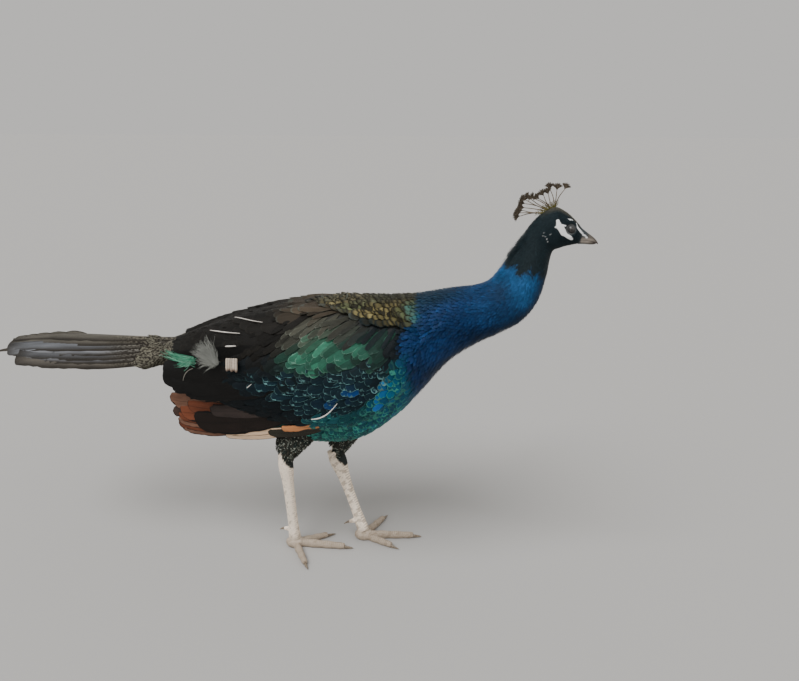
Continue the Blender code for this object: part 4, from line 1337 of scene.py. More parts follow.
def covert_coat(rng):
    """Coverts of the folded wings: broad and slanting high up, flat like scales lower down."""
    batch = Batch()
    shape = Shape(10, 9, tip=0.74, arch=0.05, ragged=0.07)
    for low, high in both_sides(-36, 68):
        field = Field(1.9, 8.4, COVERT_SPACING, 2.2, rng, low, high)
        top, bottom = wing_edges(field.place)
        field.keep((mantle_part(field.place, field.side) < 0.5) & (field.side > bottom - 1)
                   & (field.side < top + 6) & (field.place < wing_front(field.side) + 0.1))
        upper = smooth(6, 26, field.side)
        broad = smooth(6, 20, field.side) * (1 - smooth(32, 42, field.side))
        field.size = field.size * (1 + 0.40 * broad) * rng.uniform(0.78, 1.22, len(field.size))
        high = smooth(24, 36, field.side)
        coat(batch, field, shape, rng, length=4.4 + 1.4 * high, width=1.9 - 0.75 * high,
             down=0.18 + 0.30 * upper + 0.12 * high, lift=0.03, wild=0.12, shade=0.22,
             overlap=0.05 * (1 - high))
    material = plumage("plumage_wing", 0.5, 0.90, 0.98, shaft=-0.15, contrast=0.45, slim=4.6,
                       broken=0.42, grain=(150.0, (3.0, 0.7, 0.7), 24.0))
    batch.make("coat_coverts", material)


def rump_coat(rng):
    """Long smooth black feathers over the rump and the top of the folded wings."""
    field = Field(1.65, 5.5, RUMP_SPACING, 0.95, rng, math.radians(2), math.radians(178))
    lower_edge = np.interp(field.place, *RUMP_EDGE)
    under_mantle = mantle_part(field.place - RUMP_UNDER_MANTLE, field.side)
    field.keep((field.side > lower_edge) & (under_mantle < 0.5))
    material = plumage("plumage_rump", 0.55, 0.95, 0.99, shaft=0.12, contrast=0.45,
                       grain=(110.0, (5.0, 0.7, 0.7), 14.0))
    make_coat("coat_rump", "plumage_wing", material, field,
              Shape(14, 9, tip=0.62, arch=0.04, ragged=0.05), rng, length=3.8, width=1.9, down=0.08,
              lift=0.015, shade=0.15, wild=0.05, colours=rump_colours(field.place))


def vent_coat(rng):
    """Short black feathers all round the rear of the body."""
    field = Field(1.2, 2.9, VENT_SPACING, 1.1, rng)
    make_coat("coat_vent", "plumage_back", plumage("plumage_vent", 0.55), field,
              Shape(8, 7, tip=0.85, arch=0.05, ragged=0.15), rng, length=3.2, width=1.6, shade=0.15,
              colours=(VENT, VENT))


TAIL_BASE_SINK = 0.0060
TAIL_COVER_OVER = 0.0025
TAIL_COVER_UNDER = 0.0100
TAIL_COVER_SPREAD = 0.55


def tail_base_surface(reach, angle, height):
    """The body's rear, drawn in behind the vent to lie on the tail above and close under it below."""
    points = body_surface(reach, angle, height)
    side = side_angle(angle)
    points[..., 2] -= TAIL_BASE_SINK * smooth(-10, 40, side) * (1 - smooth(-0.005, 0.035, reach))
    behind = np.minimum(reach, 0.0)
    part = 1 - smooth(-0.030, 0.010, reach)
    points[..., 1] *= 1 + TAIL_COVER_SPREAD * part
    half_width = -tail_surface(behind, np.ones_like(behind), 0.0)[..., 1]
    turn = np.clip(-points[..., 1] / half_width, -1.2, 1.2)
    gap = (TAIL_COVER_OVER + TAIL_COVER_UNDER) * smooth(-25, 0, side) - TAIL_COVER_UNDER + height
    start = np.maximum(1 + behind / (TAIL_ROOF_START * TAIL_LENGTH), 0.0)
    droop = (TAIL_ROOF[1] - TAIL_ROOF[0]) * start * np.abs(turn) ** 1.25
    lying = tail_surface(behind, turn, gap - droop)[..., 2]
    points[..., 2] = points[..., 2] * (1 - part) + lying * part
    return points


def tail_covert_coat(rng):
    """Long mottled feathers that lead from the rear of the body over the roots of the tail."""
    batch = Batch()
    for low, high, length in ((-15, 195, 5.6), (-165, -15, 5.0)):
        field = Field(0.03, 1.2, TAIL_BASE_SPACING, 0.8, rng, math.radians(low), math.radians(high))
        field.size = field.size * rng.uniform(0.70, 1.15, len(field.size))
        coat(batch, field, Shape(12, 7, tip=0.80, arch=0.05, ragged=0.12), rng, length=length,
             width=1.6, wild=0.06, shade=0.15, colours=(TAIL_COVERT, TAIL_BASE_RIM),
             surface=tail_base_surface)
    material = long_feather("tail_covert_paint", 0.6, 0.80, 0.98, mottle_to=3.0, fade=0.0)
    batch.make("coat_tail_base", material)


# ---------------------------------------------------------------- long feathers of wing and tail
FLIGHT_LAST_PLACE = 4.57
FLIGHT_FRONT_DEPTH = 0.008
FLIGHT_REAR_DEPTH = 0.092
FLIGHT_REAR_SLANT = 0.026
FLIGHT_REAR_FLARE = 0.022
FLIGHT_OUTER_FACE = 0.0055

RUFOUS = paint(122, 68, 46)
RUFOUS_DULL = paint(128, 92, 74)
RUFOUS_EDGE = paint(34, 26, 22)
UMBER = paint(62, 47, 40)
BLADE = paint(30, 22, 18)
BLADE_LIGHT = paint(60, 51, 48)
CREAM = paint(226, 194, 162)
ORANGE = paint(206, 138, 90)
OLIVE_DARK = paint(46, 44, 37)

# Flight feathers of one wing, lowest layer first: metres ahead of the vent and below the wing's
# edge at the root and at the tip, width, colour and rim.
FLIGHT_FEATHERS = (
    ((0.115, 0.010), (0.002, 0.075), 0.023, UMBER, RUFOUS_EDGE),
    ((0.120, 0.044), (0.006, 0.098), 0.018, RUFOUS_DULL * 0.8, RUFOUS_EDGE),
    ((0.120, 0.038), (0.003, 0.093), 0.018, RUFOUS * 0.6, RUFOUS_EDGE),
    ((0.120, 0.031), (0.005, 0.086), 0.018, RUFOUS_DULL * 0.85, RUFOUS_EDGE),
    ((0.120, 0.024), (0.010, 0.077), 0.017, RUFOUS * 0.75, RUFOUS_EDGE),
    ((0.120, -0.008), (0.005, 0.053), 0.032, RUFOUS_DULL * 0.85, RUFOUS_EDGE),
    ((0.125, 0.010), (0.022, 0.062), 0.031, RUFOUS, RUFOUS_EDGE),
    ((0.140, -0.004), (0.040, 0.040), 0.026, RUFOUS * 0.95, RUFOUS_EDGE),
    ((0.205, 0.022), (0.104, 0.0585), 0.0105, CREAM * 0.90, RUFOUS_EDGE),
    ((0.208, 0.010), (0.110, 0.0500), 0.0130, CREAM, RUFOUS_EDGE),
    ((0.262, 0.006), (0.176, 0.030), 0.020, OLIVE_DARK, RUFOUS_EDGE),
    ((0.262, -0.002), (0.200, 0.011), 0.0145, ORANGE, RUFOUS_EDGE),
    ((0.220, -0.020), (0.050, 0.060), 0.040, BLADE, TERTIAL * 0.6),
    ((0.220, -0.034), (0.082, 0.024), 0.026, BLADE_LIGHT, BLADE),
)
FLIGHT_LAYER = 0.00042
FLIGHT_DEPTH = 0.004


def flight_surface(reach, down, height):
    """The sheet of flight feathers under the left wing's lower edge; down is less than 0."""
    place = place_at(reach)
    rearward = np.clip(1 - (place - WING_REAR) / (FLIGHT_LAST_PLACE - WING_REAR), 0, 1)
    depth = FLIGHT_FRONT_DEPTH + (FLIGHT_REAR_DEPTH - FLIGHT_FRONT_DEPTH) * rearward ** 0.9
    bottom = np.radians(wing_edges(place)[1])
    edge = body_point(place, bottom, FLIGHT_OUTER_FACE, np.minimum(reach, 0.0))
    part = np.maximum(-down, 0) / depth
    flare = (FLIGHT_REAR_FLARE * rearward ** 2 - 0.006) * np.minimum(part, 1.2)
    slant = FLIGHT_REAR_SLANT * rearward ** 4 * np.minimum(part, 1.2) ** 2
    return np.stack([edge[..., 0] + slant, edge[..., 1] + flare + height, edge[..., 2] + down], -1)


def strips(count, shape, first=0.0, last=1.0):
    """A strip of the unwrap for each of count long feathers, side by side."""
    left = first + (last - first) * np.arange(count)[:, None] / count
    across = left + (last - first) / count * (0.5 + 0.42 * shape.across)
    return np.stack([across, np.broadcast_to(0.01 + 0.98 * shape.along, across.shape)], -1)


def make_flight_feathers():
    shape = Shape(20, 7, tip=0.85, arch=0.030, ragged=0.06, root=0.5)
    material = long_feather("flight_feathers", 0.5, rim_from=0.82, rim_to=0.90)
    count = len(FLIGHT_FEATHERS)
    roots, tips, width, tint, rim = (np.array(column) for column in zip(*FLIGHT_FEATHERS))
    travel = roots - tips
    layer = FLIGHT_LAYER * (np.arange(count) + 0.5) - FLIGHT_DEPTH
    for side, seed in (("left", 61), ("right", 62)):
        rng = np.random.default_rng(seed)
        points = lay_feathers(flight_surface, shape, roots[:, 0], -roots[:, 1],
                              np.hypot(travel[:, 0], travel[:, 1]), width,
                              np.arctan2(travel[:, 1], travel[:, 0]), 0.0, 0.0,
                              rng.normal(0, 0.01, count), rng)
        points[..., 1] += layer[:, None]
        faces = shape.faces
        if side == "right":
            points[..., 1] *= -1
            faces = [face[::-1] for face in faces]
        batch = Batch()
        batch.add(points, faces, shape.vane, strips(count, shape), tint[:, None], rim[:, None])
        batch.make("long_flight_feathers_" + side, material,
                   ("flight_feathers_" + side,))


# Big black feathers over the rear of the folded wing: place and degrees up the side of the root
# and of the bend, the tip in metres, and the width.
TERTIALS = (
    (4.2, 4, 2.5, -6, (-0.3290, 0.0660, 0.2970), 0.036),
    (3.9, 8, 2.2, -4, (-0.3520, 0.0610, 0.3030), 0.037),
    (3.7, 12, 2.0, 0, (-0.3665, 0.0550, 0.3120), 0.038),
    (3.4, 18, 1.9, 6, (-0.3660, 0.0530, 0.3240), 0.036),
    (3.4, 28, 1.9, 18, (-0.3520, 0.0500, 0.3370), 0.034),
)
TERTIAL_LAYER = 0.0007
TERTIAL_ROOT_DEPTH = 0.0045
TERTIAL_HEIGHT = 0.0030


def over_side(place, side, height, sign):
    """A point over the coat on the left (sign 1) or the right (-1), by degrees up the side."""
    place, angle = np.asarray(place, float), np.radians(np.asarray(side, float))
    return body_surface(reach_at(place), angle if sign > 0 else math.pi - angle, height)


def make_tertials():
    shape = Shape(20, 9, tip=0.92, arch=0.035, ragged=0.05, root=0.5)
    place, side, bend_place, bend_side, tips, width = (np.array(column) for column in zip(*TERTIALS))
    count = len(TERTIALS)
    layer = TERTIAL_LAYER * np.arange(count)
    start = over_side(place, side, 0.3 * layer - TERTIAL_ROOT_DEPTH, 1)
    handle = over_side(bend_place, bend_side, TERTIAL_HEIGHT + layer, 1)
    handle = handle + 0.5 * (handle - (start + tips) / 2)
    for name, sign, seed in (("left", 1, 63), ("right", -1, 64)):
        rng = np.random.default_rng(seed)
        flip = np.array([1.0, sign, 1.0])
        ends = (tips + layer[:, None] * LEFT + rng.normal(0, 0.001, (count, 3))) * flip
        tint = TERTIAL * rng.uniform(0.8, 1.3, (count, 1))
        batch = Batch()
        ribbons(batch, shape, start * flip, handle * flip, ends, (0.0, sign, 0.15), width, tint,
                tint * 1.5, strips(count, shape), rng)
        batch.make("tertials_" + name, long_feather("tertial_paint_" + name, 0.5, 0.95, 0.99))


TAIL_BASE_X = -0.3745
TAIL_LENGTH = 0.3035
TAIL_RIDGE_HEIGHT = 0.3565
TAIL_ROOT_HALF_WIDTH = 0.034
TAIL_HALF_WIDTH = 0.061
TAIL_TIP_HALF_WIDTH = 0.038
TAIL_WIDEST = 0.6
TAIL_ROOF = (0.008, 0.029)
TAIL_ROOF_START = 0.12
TAIL_SAG = 0.020
TAIL_LAYER = 0.0008
TAIL_FEATHER_WIDTH = 0.026
TAIL_ROOT_AHEAD = 0.012         # how far ahead of the tail's base its feathers begin
TAIL_BROWN = paint(66, 60, 52)
# Colours of the pairs of tail feathers from the ridge outwards.
TAIL_PAIRS = (paint(98, 94, 86), paint(102, 104, 108), paint(128, 130, 135), paint(84, 85, 88),
              paint(122, 123, 127), paint(88, 83, 76))
# Curled feathers along the ridge: metres behind the tail's base, and width.
RIDGE_TIPS = ((0.184, 0.0090), (0.212, 0.0085), (0.238, 0.0080), (0.256, 0.0075), (0.274, 0.0075))
POINTED_FEATHER = (0.40, 0.3015, 0.0120)    # turn, length and width
POINTED_FEATHER_DEPTH = 0.0040


def tail_surface(reach, turn, height):
    """The roofed top of the folded tail; reach is less than 0, and turn is 1 at its right edge."""
    along = np.clip(-reach / TAIL_LENGTH, 0, 1.05)
    spread = np.sin(math.pi / 2 * np.minimum(along / TAIL_WIDEST, 1.0)) ** 0.8
    closing = np.maximum(along - TAIL_WIDEST, 0.0) / (1 - TAIL_WIDEST)
    half_width = (TAIL_ROOT_HALF_WIDTH + (TAIL_HALF_WIDTH - TAIL_ROOT_HALF_WIDTH) * spread
                  - (TAIL_HALF_WIDTH - TAIL_TIP_HALF_WIDTH) * closing)
    roof = TAIL_ROOF[0] + (TAIL_ROOF[1] - TAIL_ROOF[0]) * np.minimum(along / TAIL_ROOF_START, 1.0)
    roof = roof * (1 - 0.20 * np.maximum(along - 0.45, 0.0))
    sag = TAIL_SAG * (np.maximum(along - 0.45, 0.0) / 0.55) ** 2
    edge = np.abs(turn)
    rise = TAIL_RIDGE_HEIGHT - roof * edge ** 1.25 - sag + height
    return np.stack([TAIL_BASE_X + reach, -half_width * turn, rise], -1)


def make_tail_feathers():
    rng = np.random.default_rng(71)
    shape = Shape(28, 9, tip=0.72, arch=0.04, ragged=0.05, root=0.55)
    pairs = len(TAIL_PAIRS)
    step = np.repeat(np.arange(pairs), 2)
    sign = np.tile([1.0, -1.0], pairs)
    part = step / (pairs - 1)
    count = len(step)
    turn = sign * (0.05 + 0.70 * part)
    length = TAIL_LENGTH * (0.925 - 0.090 * smooth(0.4, 0.6, part)) * rng.uniform(0.975, 1.0, count)
    points = lay_feathers(tail_surface, shape, TAIL_ROOT_AHEAD, turn, length + TAIL_ROOT_AHEAD,
                          TAIL_FEATHER_WIDTH, rng.normal(0, 0.010, count) + sign * 0.01, 0.0, 0.0005,
                          rng.normal(0, 0.01, count) - sign * 0.05, rng)
    points[..., 2] -= (step * TAIL_LAYER)[:, None] + 0.0006
    tint = np.array(TAIL_PAIRS)[step] * rng.uniform(0.9, 1.1, (count, 1))
    bake = strips(count + 1, shape, 0.0, 0.8)
    batch = Batch()
    batch.add(points, shape.faces, shape.vane, bake[:count], tint[:, None], TAIL_BROWN * 0.45)
    add_pointed_feather(batch, bake[count:], rng)
    add_ridge_feathers(batch, rng)
    batch.make("tail_feathers", long_feather("tail_feathers", 0.5, rim_from=0.45, rim_to=0.95,
                                             tip_from=0.84, tip_to=1.04, mottle_to=0.42),
               ("tail",))


def add_pointed_feather(batch, bake, rng):
    """The one narrow feather that ends behind all others, on the right."""
    turn, length, width = POINTED_FEATHER
    shape = Shape(28, 9, tip=0.25, arch=0.04, ragged=0.03, root=0.6)
    points = lay_feathers(tail_surface, shape, 0.0, np.array([turn]), length, width, 0.0, 0.0, 0.0,
                          0.0, rng)
    points[..., 2] -= POINTED_FEATHER_DEPTH
    batch.add(points, shape.faces, shape.vane, bake, TAIL_BROWN, TAIL_BROWN * 0.5)


def add_ridge_feathers(batch, rng):
    """Feathers that stand up a little along the ridge, with curled edges."""
    count = len(RIDGE_TIPS)
    shape = Shape(14, 7, tip=0.7, arch=0.05, ragged=0.05, root=0.5)
    behind, width = np.array(RIDGE_TIPS).T
    tips = tail_surface(-behind, np.full(count, -0.06), np.full(count, 0.0002))
    starts = tail_surface(0.044 - behind, np.full(count, -0.10), np.full(count, -0.0060))
    handles = tail_surface(0.018 - behind, np.full(count, -0.16), np.full(count, 0.0038))
    tint = TAIL_PAIRS[0] * rng.uniform(0.8, 1.1, (count, 1))
    ribbons(batch, shape, starts, handles, tips, (0.0, -1.0, 0.25), width, tint, TAIL_BROWN * 0.5,
            strips(count, shape, 0.82, 1.0), rng)


# ---------------------------------------------------------------- thighs
# More rows of the thigh's profile, for feathers that hang over the shank.
THIGH_PROFILE_BELOW = ((1.35, 0.0082, 0.0090), (1.8, 0.0076, 0.0088))
THIGH_SPACING = 0.0042
THIGH_ROOT_DEPTH = 0.0022
THIGH_FLARE = 0.0060            # how far the coat stands off the front of the thigh


def thigh_surface(leg):
    """The surface of a thigh and the top of its shank, as a function like body_surface."""
    length = np.linalg.norm(leg.hock - leg.root)
    along_shank = unit(leg.foot - leg.hock)
    parts, widths, lengths = np.array(THIGH_PROFILE + THIGH_PROFILE_BELOW).T

    def surface(reach, angle, height):
        part = -reach / length
        centre = (leg.root + (leg.hock - leg.root) * np.minimum(part, 1)[..., None]
                  + along_shank * np.maximum(-reach - length, 0)[..., None])
        wide = np.interp(part, parts, widths) + height
        long = np.interp(part, parts, lengths) + height
        long = long + THIGH_FLARE * smooth(0.0, 0.9, np.cos(angle)) * (1 - smooth(0.55, 1.05, part))
        return centre + np.stack([long * np.cos(angle), wide * np.sin(angle), np.zeros_like(wide)], -1)
    return surface, length


def thigh_roots(surface, length, rng):
    """Staggered rows of roots down a thigh, as far as its feathers go."""
    turns = np.linspace(0, 2 * math.pi, 91)
    reaches, angles = [], []
    for row, down in enumerate(np.arange(-0.004, length + 0.02, THIGH_SPACING * 0.75)):
        ring = surface(np.full(91, -down), turns, np.zeros(91))
        girth = np.linalg.norm(np.diff(ring, axis=0), axis=1).sum()
        count = int(girth / THIGH_SPACING) + 1
        angle = (np.arange(count) + 0.5 * (row % 2) + rng.uniform(-0.3, 0.3, count)) / count
        angle = angle * 2 * math.pi
        end = thigh_end(length, np.cos(angle)) - 0.006 + rng.normal(0, 0.003, count)
        angle = angle[down < end]
        angles.append(angle)
        reaches.append(-down - rng.uniform(0, THIGH_SPACING * 0.5, len(angle)))
    return np.concatenate(reaches), np.concatenate(angles)


def thigh_coat(rng):
    batch = Batch()
    shape = Shape(6, 5, tip=0.45, arch=0.10, ragged=0.25)
    for leg in LEGS:
        surface, length = thigh_surface(leg)
        reach, angle = thigh_roots(surface, length, rng)
        count = len(reach)
        size = np.interp(-reach, (0, length), (1.15, 0.75)) * THIGH_SPACING
        points = lay_feathers(surface, shape, reach, angle, size * rng.uniform(2.2, 3.0, count),
                              size * 1.35, rng.normal(0, 0.45, count), THIGH_ROOT_DEPTH,
                              size * rng.uniform(0.05, 0.45, count), rng.normal(0, 0.12, count), rng)
        tint = mix(THIGH, THIGH_BROWN, rng.uniform(0, 1, count))
        rim = mix(tint, THIGH_SPECK, (rng.uniform(0, 1, count) > 0.50) * 0.75)
        across = ((angle / (2 * math.pi)) % 1 * 0.48) + 0.5 * (leg.sign > 0)
        bake = bake_places(across, np.clip(1 + reach / (length + 0.03), 0, 1), shape)
        batch.add(points, shape.faces, shape.vane, bake, tint[:, None], rim[:, None])
    batch.make("coat_thighs", plumage("plumage_thigh", 0.6, 0.72, 0.95, slim=2.0))


# ---------------------------------------------------------------- eyes and bill
EYE_TURN_FORWARD = 14           # degrees, as are the next four
EYE_TURN_DOWN = 4
PUPIL = 17                      # from the eye's axis, as are the next two
IRIS = 37
CORNEA = 41
CORNEA_RISE = 0.0006
EYE_ROWS = 60
EYE_COLUMNS = 48
EYE_BACK = 172                  # degrees from the axis at which the ball is closed behind
EYE_GAP = 0.0002                # how much smaller the ball is than its solid
EYE_BLACK = paint(8, 8, 9)
IRIS_BROWN = paint(46, 42, 39)
EYE_GREY = paint(66, 68, 68)
# Stations of the bill from the face to the tip: the outer line (x, z), the gape (x, z), half width.
UPPER_BILL = ((0.2615, 0.5525, 0.2615, 0.5306, 0.0084), (0.2650, 0.5480, 0.2650, 0.5305, 0.0080),
              (0.2690, 0.5446, 0.2690, 0.5304, 0.0074), (0.2735, 0.5412, 0.2735, 0.5303, 0.0065),
              (0.2785, 0.5376, 0.2785, 0.5299, 0.0054), (0.2835, 0.5338, 0.2832, 0.5283, 0.0041),
              (0.2876, 0.5297, 0.2870, 0.5260, 0.0026), (0.2898, 0.5262, 0.2887, 0.5248, 0.0012),
              (0.2903, 0.5240, 0.2899, 0.5238, 0.0004))
LOWER_BILL = ((0.2615, 0.5240, 0.2615, 0.5298, 0.0080), (0.2655, 0.5240, 0.2655, 0.5298, 0.0074),
              (0.2700, 0.5240, 0.2700, 0.5297, 0.0066), (0.2745, 0.5237, 0.2745, 0.5296, 0.0056),
              (0.2790, 0.5234, 0.2790, 0.5294, 0.0044), (0.2832, 0.5236, 0.2832, 0.5280, 0.0030),
              (0.2860, 0.5242, 0.2860, 0.5262, 0.0017), (0.2872, 0.5250, 0.2872, 0.5256, 0.0006))
NOSTRIL = (0.2735, 0.5362)
NOSTRIL_SLOPE = -0.62
NOSTRIL_REACH = (0.0026, 0.0010)    # half length and half height
NOSTRIL_DEPTH = 0.18            # part of the bill's half width
BILL_GREY = paint(80, 74, 66)
BILL_TIP_COLOUR = paint(58, 48, 42)
BILL_EDGE = paint(140, 130, 120)


def eye_axis(sign):
    """The way an eye looks: out to its side, a little forward and down."""
    forward, down = math.radians(EYE_TURN_FORWARD), math.radians(EYE_TURN_DOWN)
    return np.array([math.sin(forward), sign * math.cos(forward) * math.cos(down), -math.sin(down)])


def eye_colours(degrees):
    tint = mix(EYE_BLACK, IRIS_BROWN, smooth(PUPIL - 1.5, PUPIL + 1.5, degrees))
    tint = mix(tint, EYE_BLACK, smooth(IRIS - 4, IRIS, degrees))
    return mix(tint, EYE_GREY, 0.8 * smooth(40, 52, degrees))


def make_eyes():
    """A dark eyeball with a clear bulge in front, its ring of iris and its pupil."""
    tilt, turn = np.meshgrid(np.radians(np.linspace(1.5, EYE_BACK, EYE_ROWS)),
                             2 * math.pi * np.arange(EYE_COLUMNS) / EYE_COLUMNS, indexing="ij")
    radius = EYE_RADIUS - EYE_GAP + CORNEA_RISE * (1 - smooth(0, CORNEA, np.degrees(tilt)))
    faces = [face[::-1] for face in grid_faces(EYE_ROWS, EYE_COLUMNS)]
    for side, sign in (("left", 1), ("right", -1)):
        axis = eye_axis(sign)
        top = unit(UP - axis * axis[2])
        rays = (axis * np.cos(tilt)[..., None] + top * (np.sin(tilt) * np.cos(turn))[..., None]
                + np.cross(axis, top) * (np.sin(tilt) * np.sin(turn))[..., None])
        points = np.multiply(EYE_CENTRE, (1, sign, 1)) + rays * radius[..., None]
        made = Paint("eye_" + side, 0.35, Coat_Weight=0.25, Coat_Roughness=0.22)
        make_solid("eyeball_" + side, points, faces, eye_colours(np.degrees(tilt)),
                   made.colour(made.colours("Tint")), ("eye_" + side,))


def half_bill(stations, rows=56, columns=40):
    """Rings of half a bill: an arched outer side over a flat side along the gape."""
    table = smooth_profile(stations, rows)
    outer_x, outer_z, inner_x, inner_z, width = np.moveaxis(table[:, None], -1, 0)
    turn = 2 * math.pi * np.arange(columns) / columns
    arch = np.maximum(np.sin(turn), 0) ** 0.80
    under = np.minimum(np.sin(turn), 0) * 0.06
    x = inner_x + (outer_x - inner_x) * (arch + under)
    z = inner_z + (outer_z - inner_z) * (arch + under)
    y = width * np.copysign(np.abs(np.cos(turn)) ** 0.85, np.cos(turn))
    return np.stack([x, y, z], -1)


def nostril_depth(points):
    """1 in the slot of the nostril, falling to 0 at its rim."""
    ahead, up = points[..., 0] - NOSTRIL[0], points[..., 2] - NOSTRIL[1]
    length = math.hypot(1, NOSTRIL_SLOPE)
    along, across = (ahead + up * NOSTRIL_SLOPE) / length, (up - ahead * NOSTRIL_SLOPE) / length
    reach = np.hypot(along / NOSTRIL_REACH[0], across / NOSTRIL_REACH[1])
    return (1 - smooth(0.5, 1.1, reach)) * (np.abs(points[..., 1]) > 0.0015)


def bill_colours(points, hole):
    """Grey horn: dark where it meets the face, along the ridge and at the tip, pale by the gape."""
    part = np.broadcast_to(np.linspace(0, 1, len(points))[:, None], hole.shape)
    inner = np.abs(points[..., 2] - points[:, :1, 2])
    tint = mix(BILL_GREY, BILL_TIP_COLOUR, smooth(0.45, 0.85, part))
    pale = (1 - smooth(0.0012, 0.0048, inner)) * (1 - smooth(0.45, 0.75, part))
    tint = mix(tint, BILL_EDGE, 0.9 * pale)
    dark_ridge = smooth(0.0035, 0.0062, inner) * (1 - smooth(0.32, 0.50, part))
    tint = mix(tint, BLACK_GREEN, 0.9 * dark_ridge)
    tint = mix(tint, BLACK_GREEN, 0.9 * (1 - smooth(0.07, 0.15, part)))
    tint = mix(tint, FACE_WHITE, 0.85 * bare_white(points))
    # painted shade: the nostril's shallow slot near-black, for the dark of the hollow
    return mix(tint, EYE_BLACK, 0.85 * hole)


def make_bill():
    material = horn("bill_horn", 0.38)
    for name, stations in (("upper", UPPER_BILL), ("lower", LOWER_BILL)):
        points = half_bill(stations)
        faces = grid_faces(*points.shape[:2])
        hole = nostril_depth(points) * (name == "upper")
        if name == "upper":
            faces = [face[::-1] for face in faces]
        tint = bill_colours(points, hole)
        points[..., 1] *= 1 - NOSTRIL_DEPTH * hole
        make_solid("horn_bill_" + name, points, faces, tint, material, ("bill_" + name,))


def make_claws():
    """The claws keep their solids and take a horn colour."""
    made = Paint("claw_horn", 0.4, Specular_IOR_Level=0.4)
    streaks = made.between(made.noise(600.0, 2.0), 0.35, 0.65)
    material = made.colour(made.blend(paint(92, 80, 68), paint(140, 126, 108), streaks))
    for name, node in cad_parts.items():
        if name.startswith("claw_"):
            node.data.materials.clear()
            node.data.materials.append(material)


# ---------------------------------------------------------------- crest
# Middles of the fans at the ends of the crest's stalks (x, z), front to back, and how far each
# leans to the left.
CREST_FANS = ((0.2396, 0.6062, 0.002), (0.2268, 0.6061, -0.003), (0.2163, 0.6061, 0.004),
              (0.2131, 0.5995, -0.001), (0.2053, 0.5972, -0.005), (0.1987, 0.5905, 0.003),
              (0.1913, 0.5912, -0.003), (0.1850, 0.5902, 0.005), (0.1790, 0.5882, -0.004),
              (0.1775, 0.5822, 0.001), (0.1768, 0.5760, -0.003), (0.1748, 0.5706, 0.004),
              (0.1718, 0.5676, -0.002), (0.1712, 0.5618, 0.002))
# The line of the stalks' roots along the crown, front to back.
CREST_ROOT_X = (0.2262, 0.2100)
CREST_ROOT_Z = (0.5764, 0.5738, 0.5672)
CREST_BARBS = 44
BARB_WIDTH = 0.00095
LOW_BARBS = 14                  # short barbs near the foot of each stalk
LOW_BARB_WIDTH = 0.0006
STALK_ROWS = 12
STALK_SIDES = 6
STALK_BEND = 0.0022
FAN_LENGTH = 0.0112
FAN_SPREAD = 0.80
STALK_RADIUS = 0.00068
CREST_BROWN = paint(98, 88, 74)
CREST_DARK = paint(64, 56, 46)
STALK_TAN = paint(104, 90, 70)
OLIVE = paint(96, 92, 40)
OLIVE_SHADED = OLIVE * 0.8


def crest_root(index):
    part = index / (len(CREST_FANS) - 1)
    return np.array([np.interp(part, (0, 1), CREST_ROOT_X), 0.0006 * (-1) ** index,
                     np.interp(part, (0, 0.5, 1), CREST_ROOT_Z)])


def add_stalk(batch, index, root, end):
    """A thin bent stalk, olive at its foot."""
    way = np.linspace(0, 1, STALK_ROWS)[:, None]
    aside = np.cross(unit(end - root), LEFT) * math.cos(1.7 * index)
    line = root + (end - root) * way + aside * STALK_BEND * np.sin(math.pi * way)
    radius = np.linspace(STALK_RADIUS * 1.25, STALK_RADIUS * 0.8, STALK_ROWS)
    rings = tube(line, radius, radius, LEFT, STALK_SIDES)
    shade = mix(OLIVE, STALK_TAN, smooth(0.0, 0.35, way[:, 0]))
    batch.add_tube(rings, (0.5, (index + 0.5) / len(CREST_FANS)), shade, STALK_TAN)


def add_fan(batch, barb, root, end, bake, rng):
    """The fan of barbs at the end of a stalk, and the short barbs near its foot."""
    along = unit(end - root)
    lowers = np.linspace(0, 1, STALK_ROWS)[rng.integers(0, 4, LOW_BARBS)]
    starts = np.concatenate([np.repeat(end[None], CREST_BARBS, 0),
                             root + (end - root) * lowers[:, None]])
    spread = np.concatenate([np.linspace(-FAN_SPREAD, FAN_SPREAD, CREST_BARBS)
                             + rng.normal(0, 0.05, CREST_BARBS),
                             rng.choice([-0.5, 0.5], LOW_BARBS)])
    length = np.concatenate([FAN_LENGTH * rng.uniform(0.88, 1.08, CREST_BARBS)
                             * (1 - 0.10 * np.abs(spread[:CREST_BARBS])),
                             rng.uniform(0.002, 0.005, LOW_BARBS)])
    way_out = along * np.cos(spread)[:, None] + np.cross(along, LEFT) * np.sin(spread)[:, None]
    way_out += rng.normal(0, 0.12, (len(spread), 1)) * LEFT
    tips = starts + unit(way_out) * length[:, None]
    handles = starts + along * length[:, None] * 0.45
    tint = mix(CREST_BROWN, CREST_DARK, rng.uniform(0, 1, len(spread)))
    tint[CREST_BARBS:] = OLIVE_SHADED
    width = np.repeat([BARB_WIDTH, LOW_BARB_WIDTH], [CREST_BARBS, LOW_BARBS])
    ribbons(batch, barb, starts, handles, tips, LEFT, width, tint, 0.8 * tint, bake, rng)


def make_crest():
    rng = np.random.default_rng(81)
    batch = Batch()
    barb = Shape(6, 3, tip=0.6, arch=0.1, ragged=0.1, root=0.5)
    barbs = CREST_BARBS + LOW_BARBS
    bake = strips(len(CREST_FANS) * barbs, barb)
    for index, (x, z, lean) in enumerate(CREST_FANS):
        root, middle = crest_root(index), np.array([x, lean, z])
        end = middle - unit(middle - root) * FAN_LENGTH * 0.55
        add_stalk(batch, index, root, end)
        add_fan(batch, barb, root, end, bake[index * barbs:(index + 1) * barbs], rng)
    batch.make("crest_feathers", plumage("crest_paint", 0.55), ("crest",))


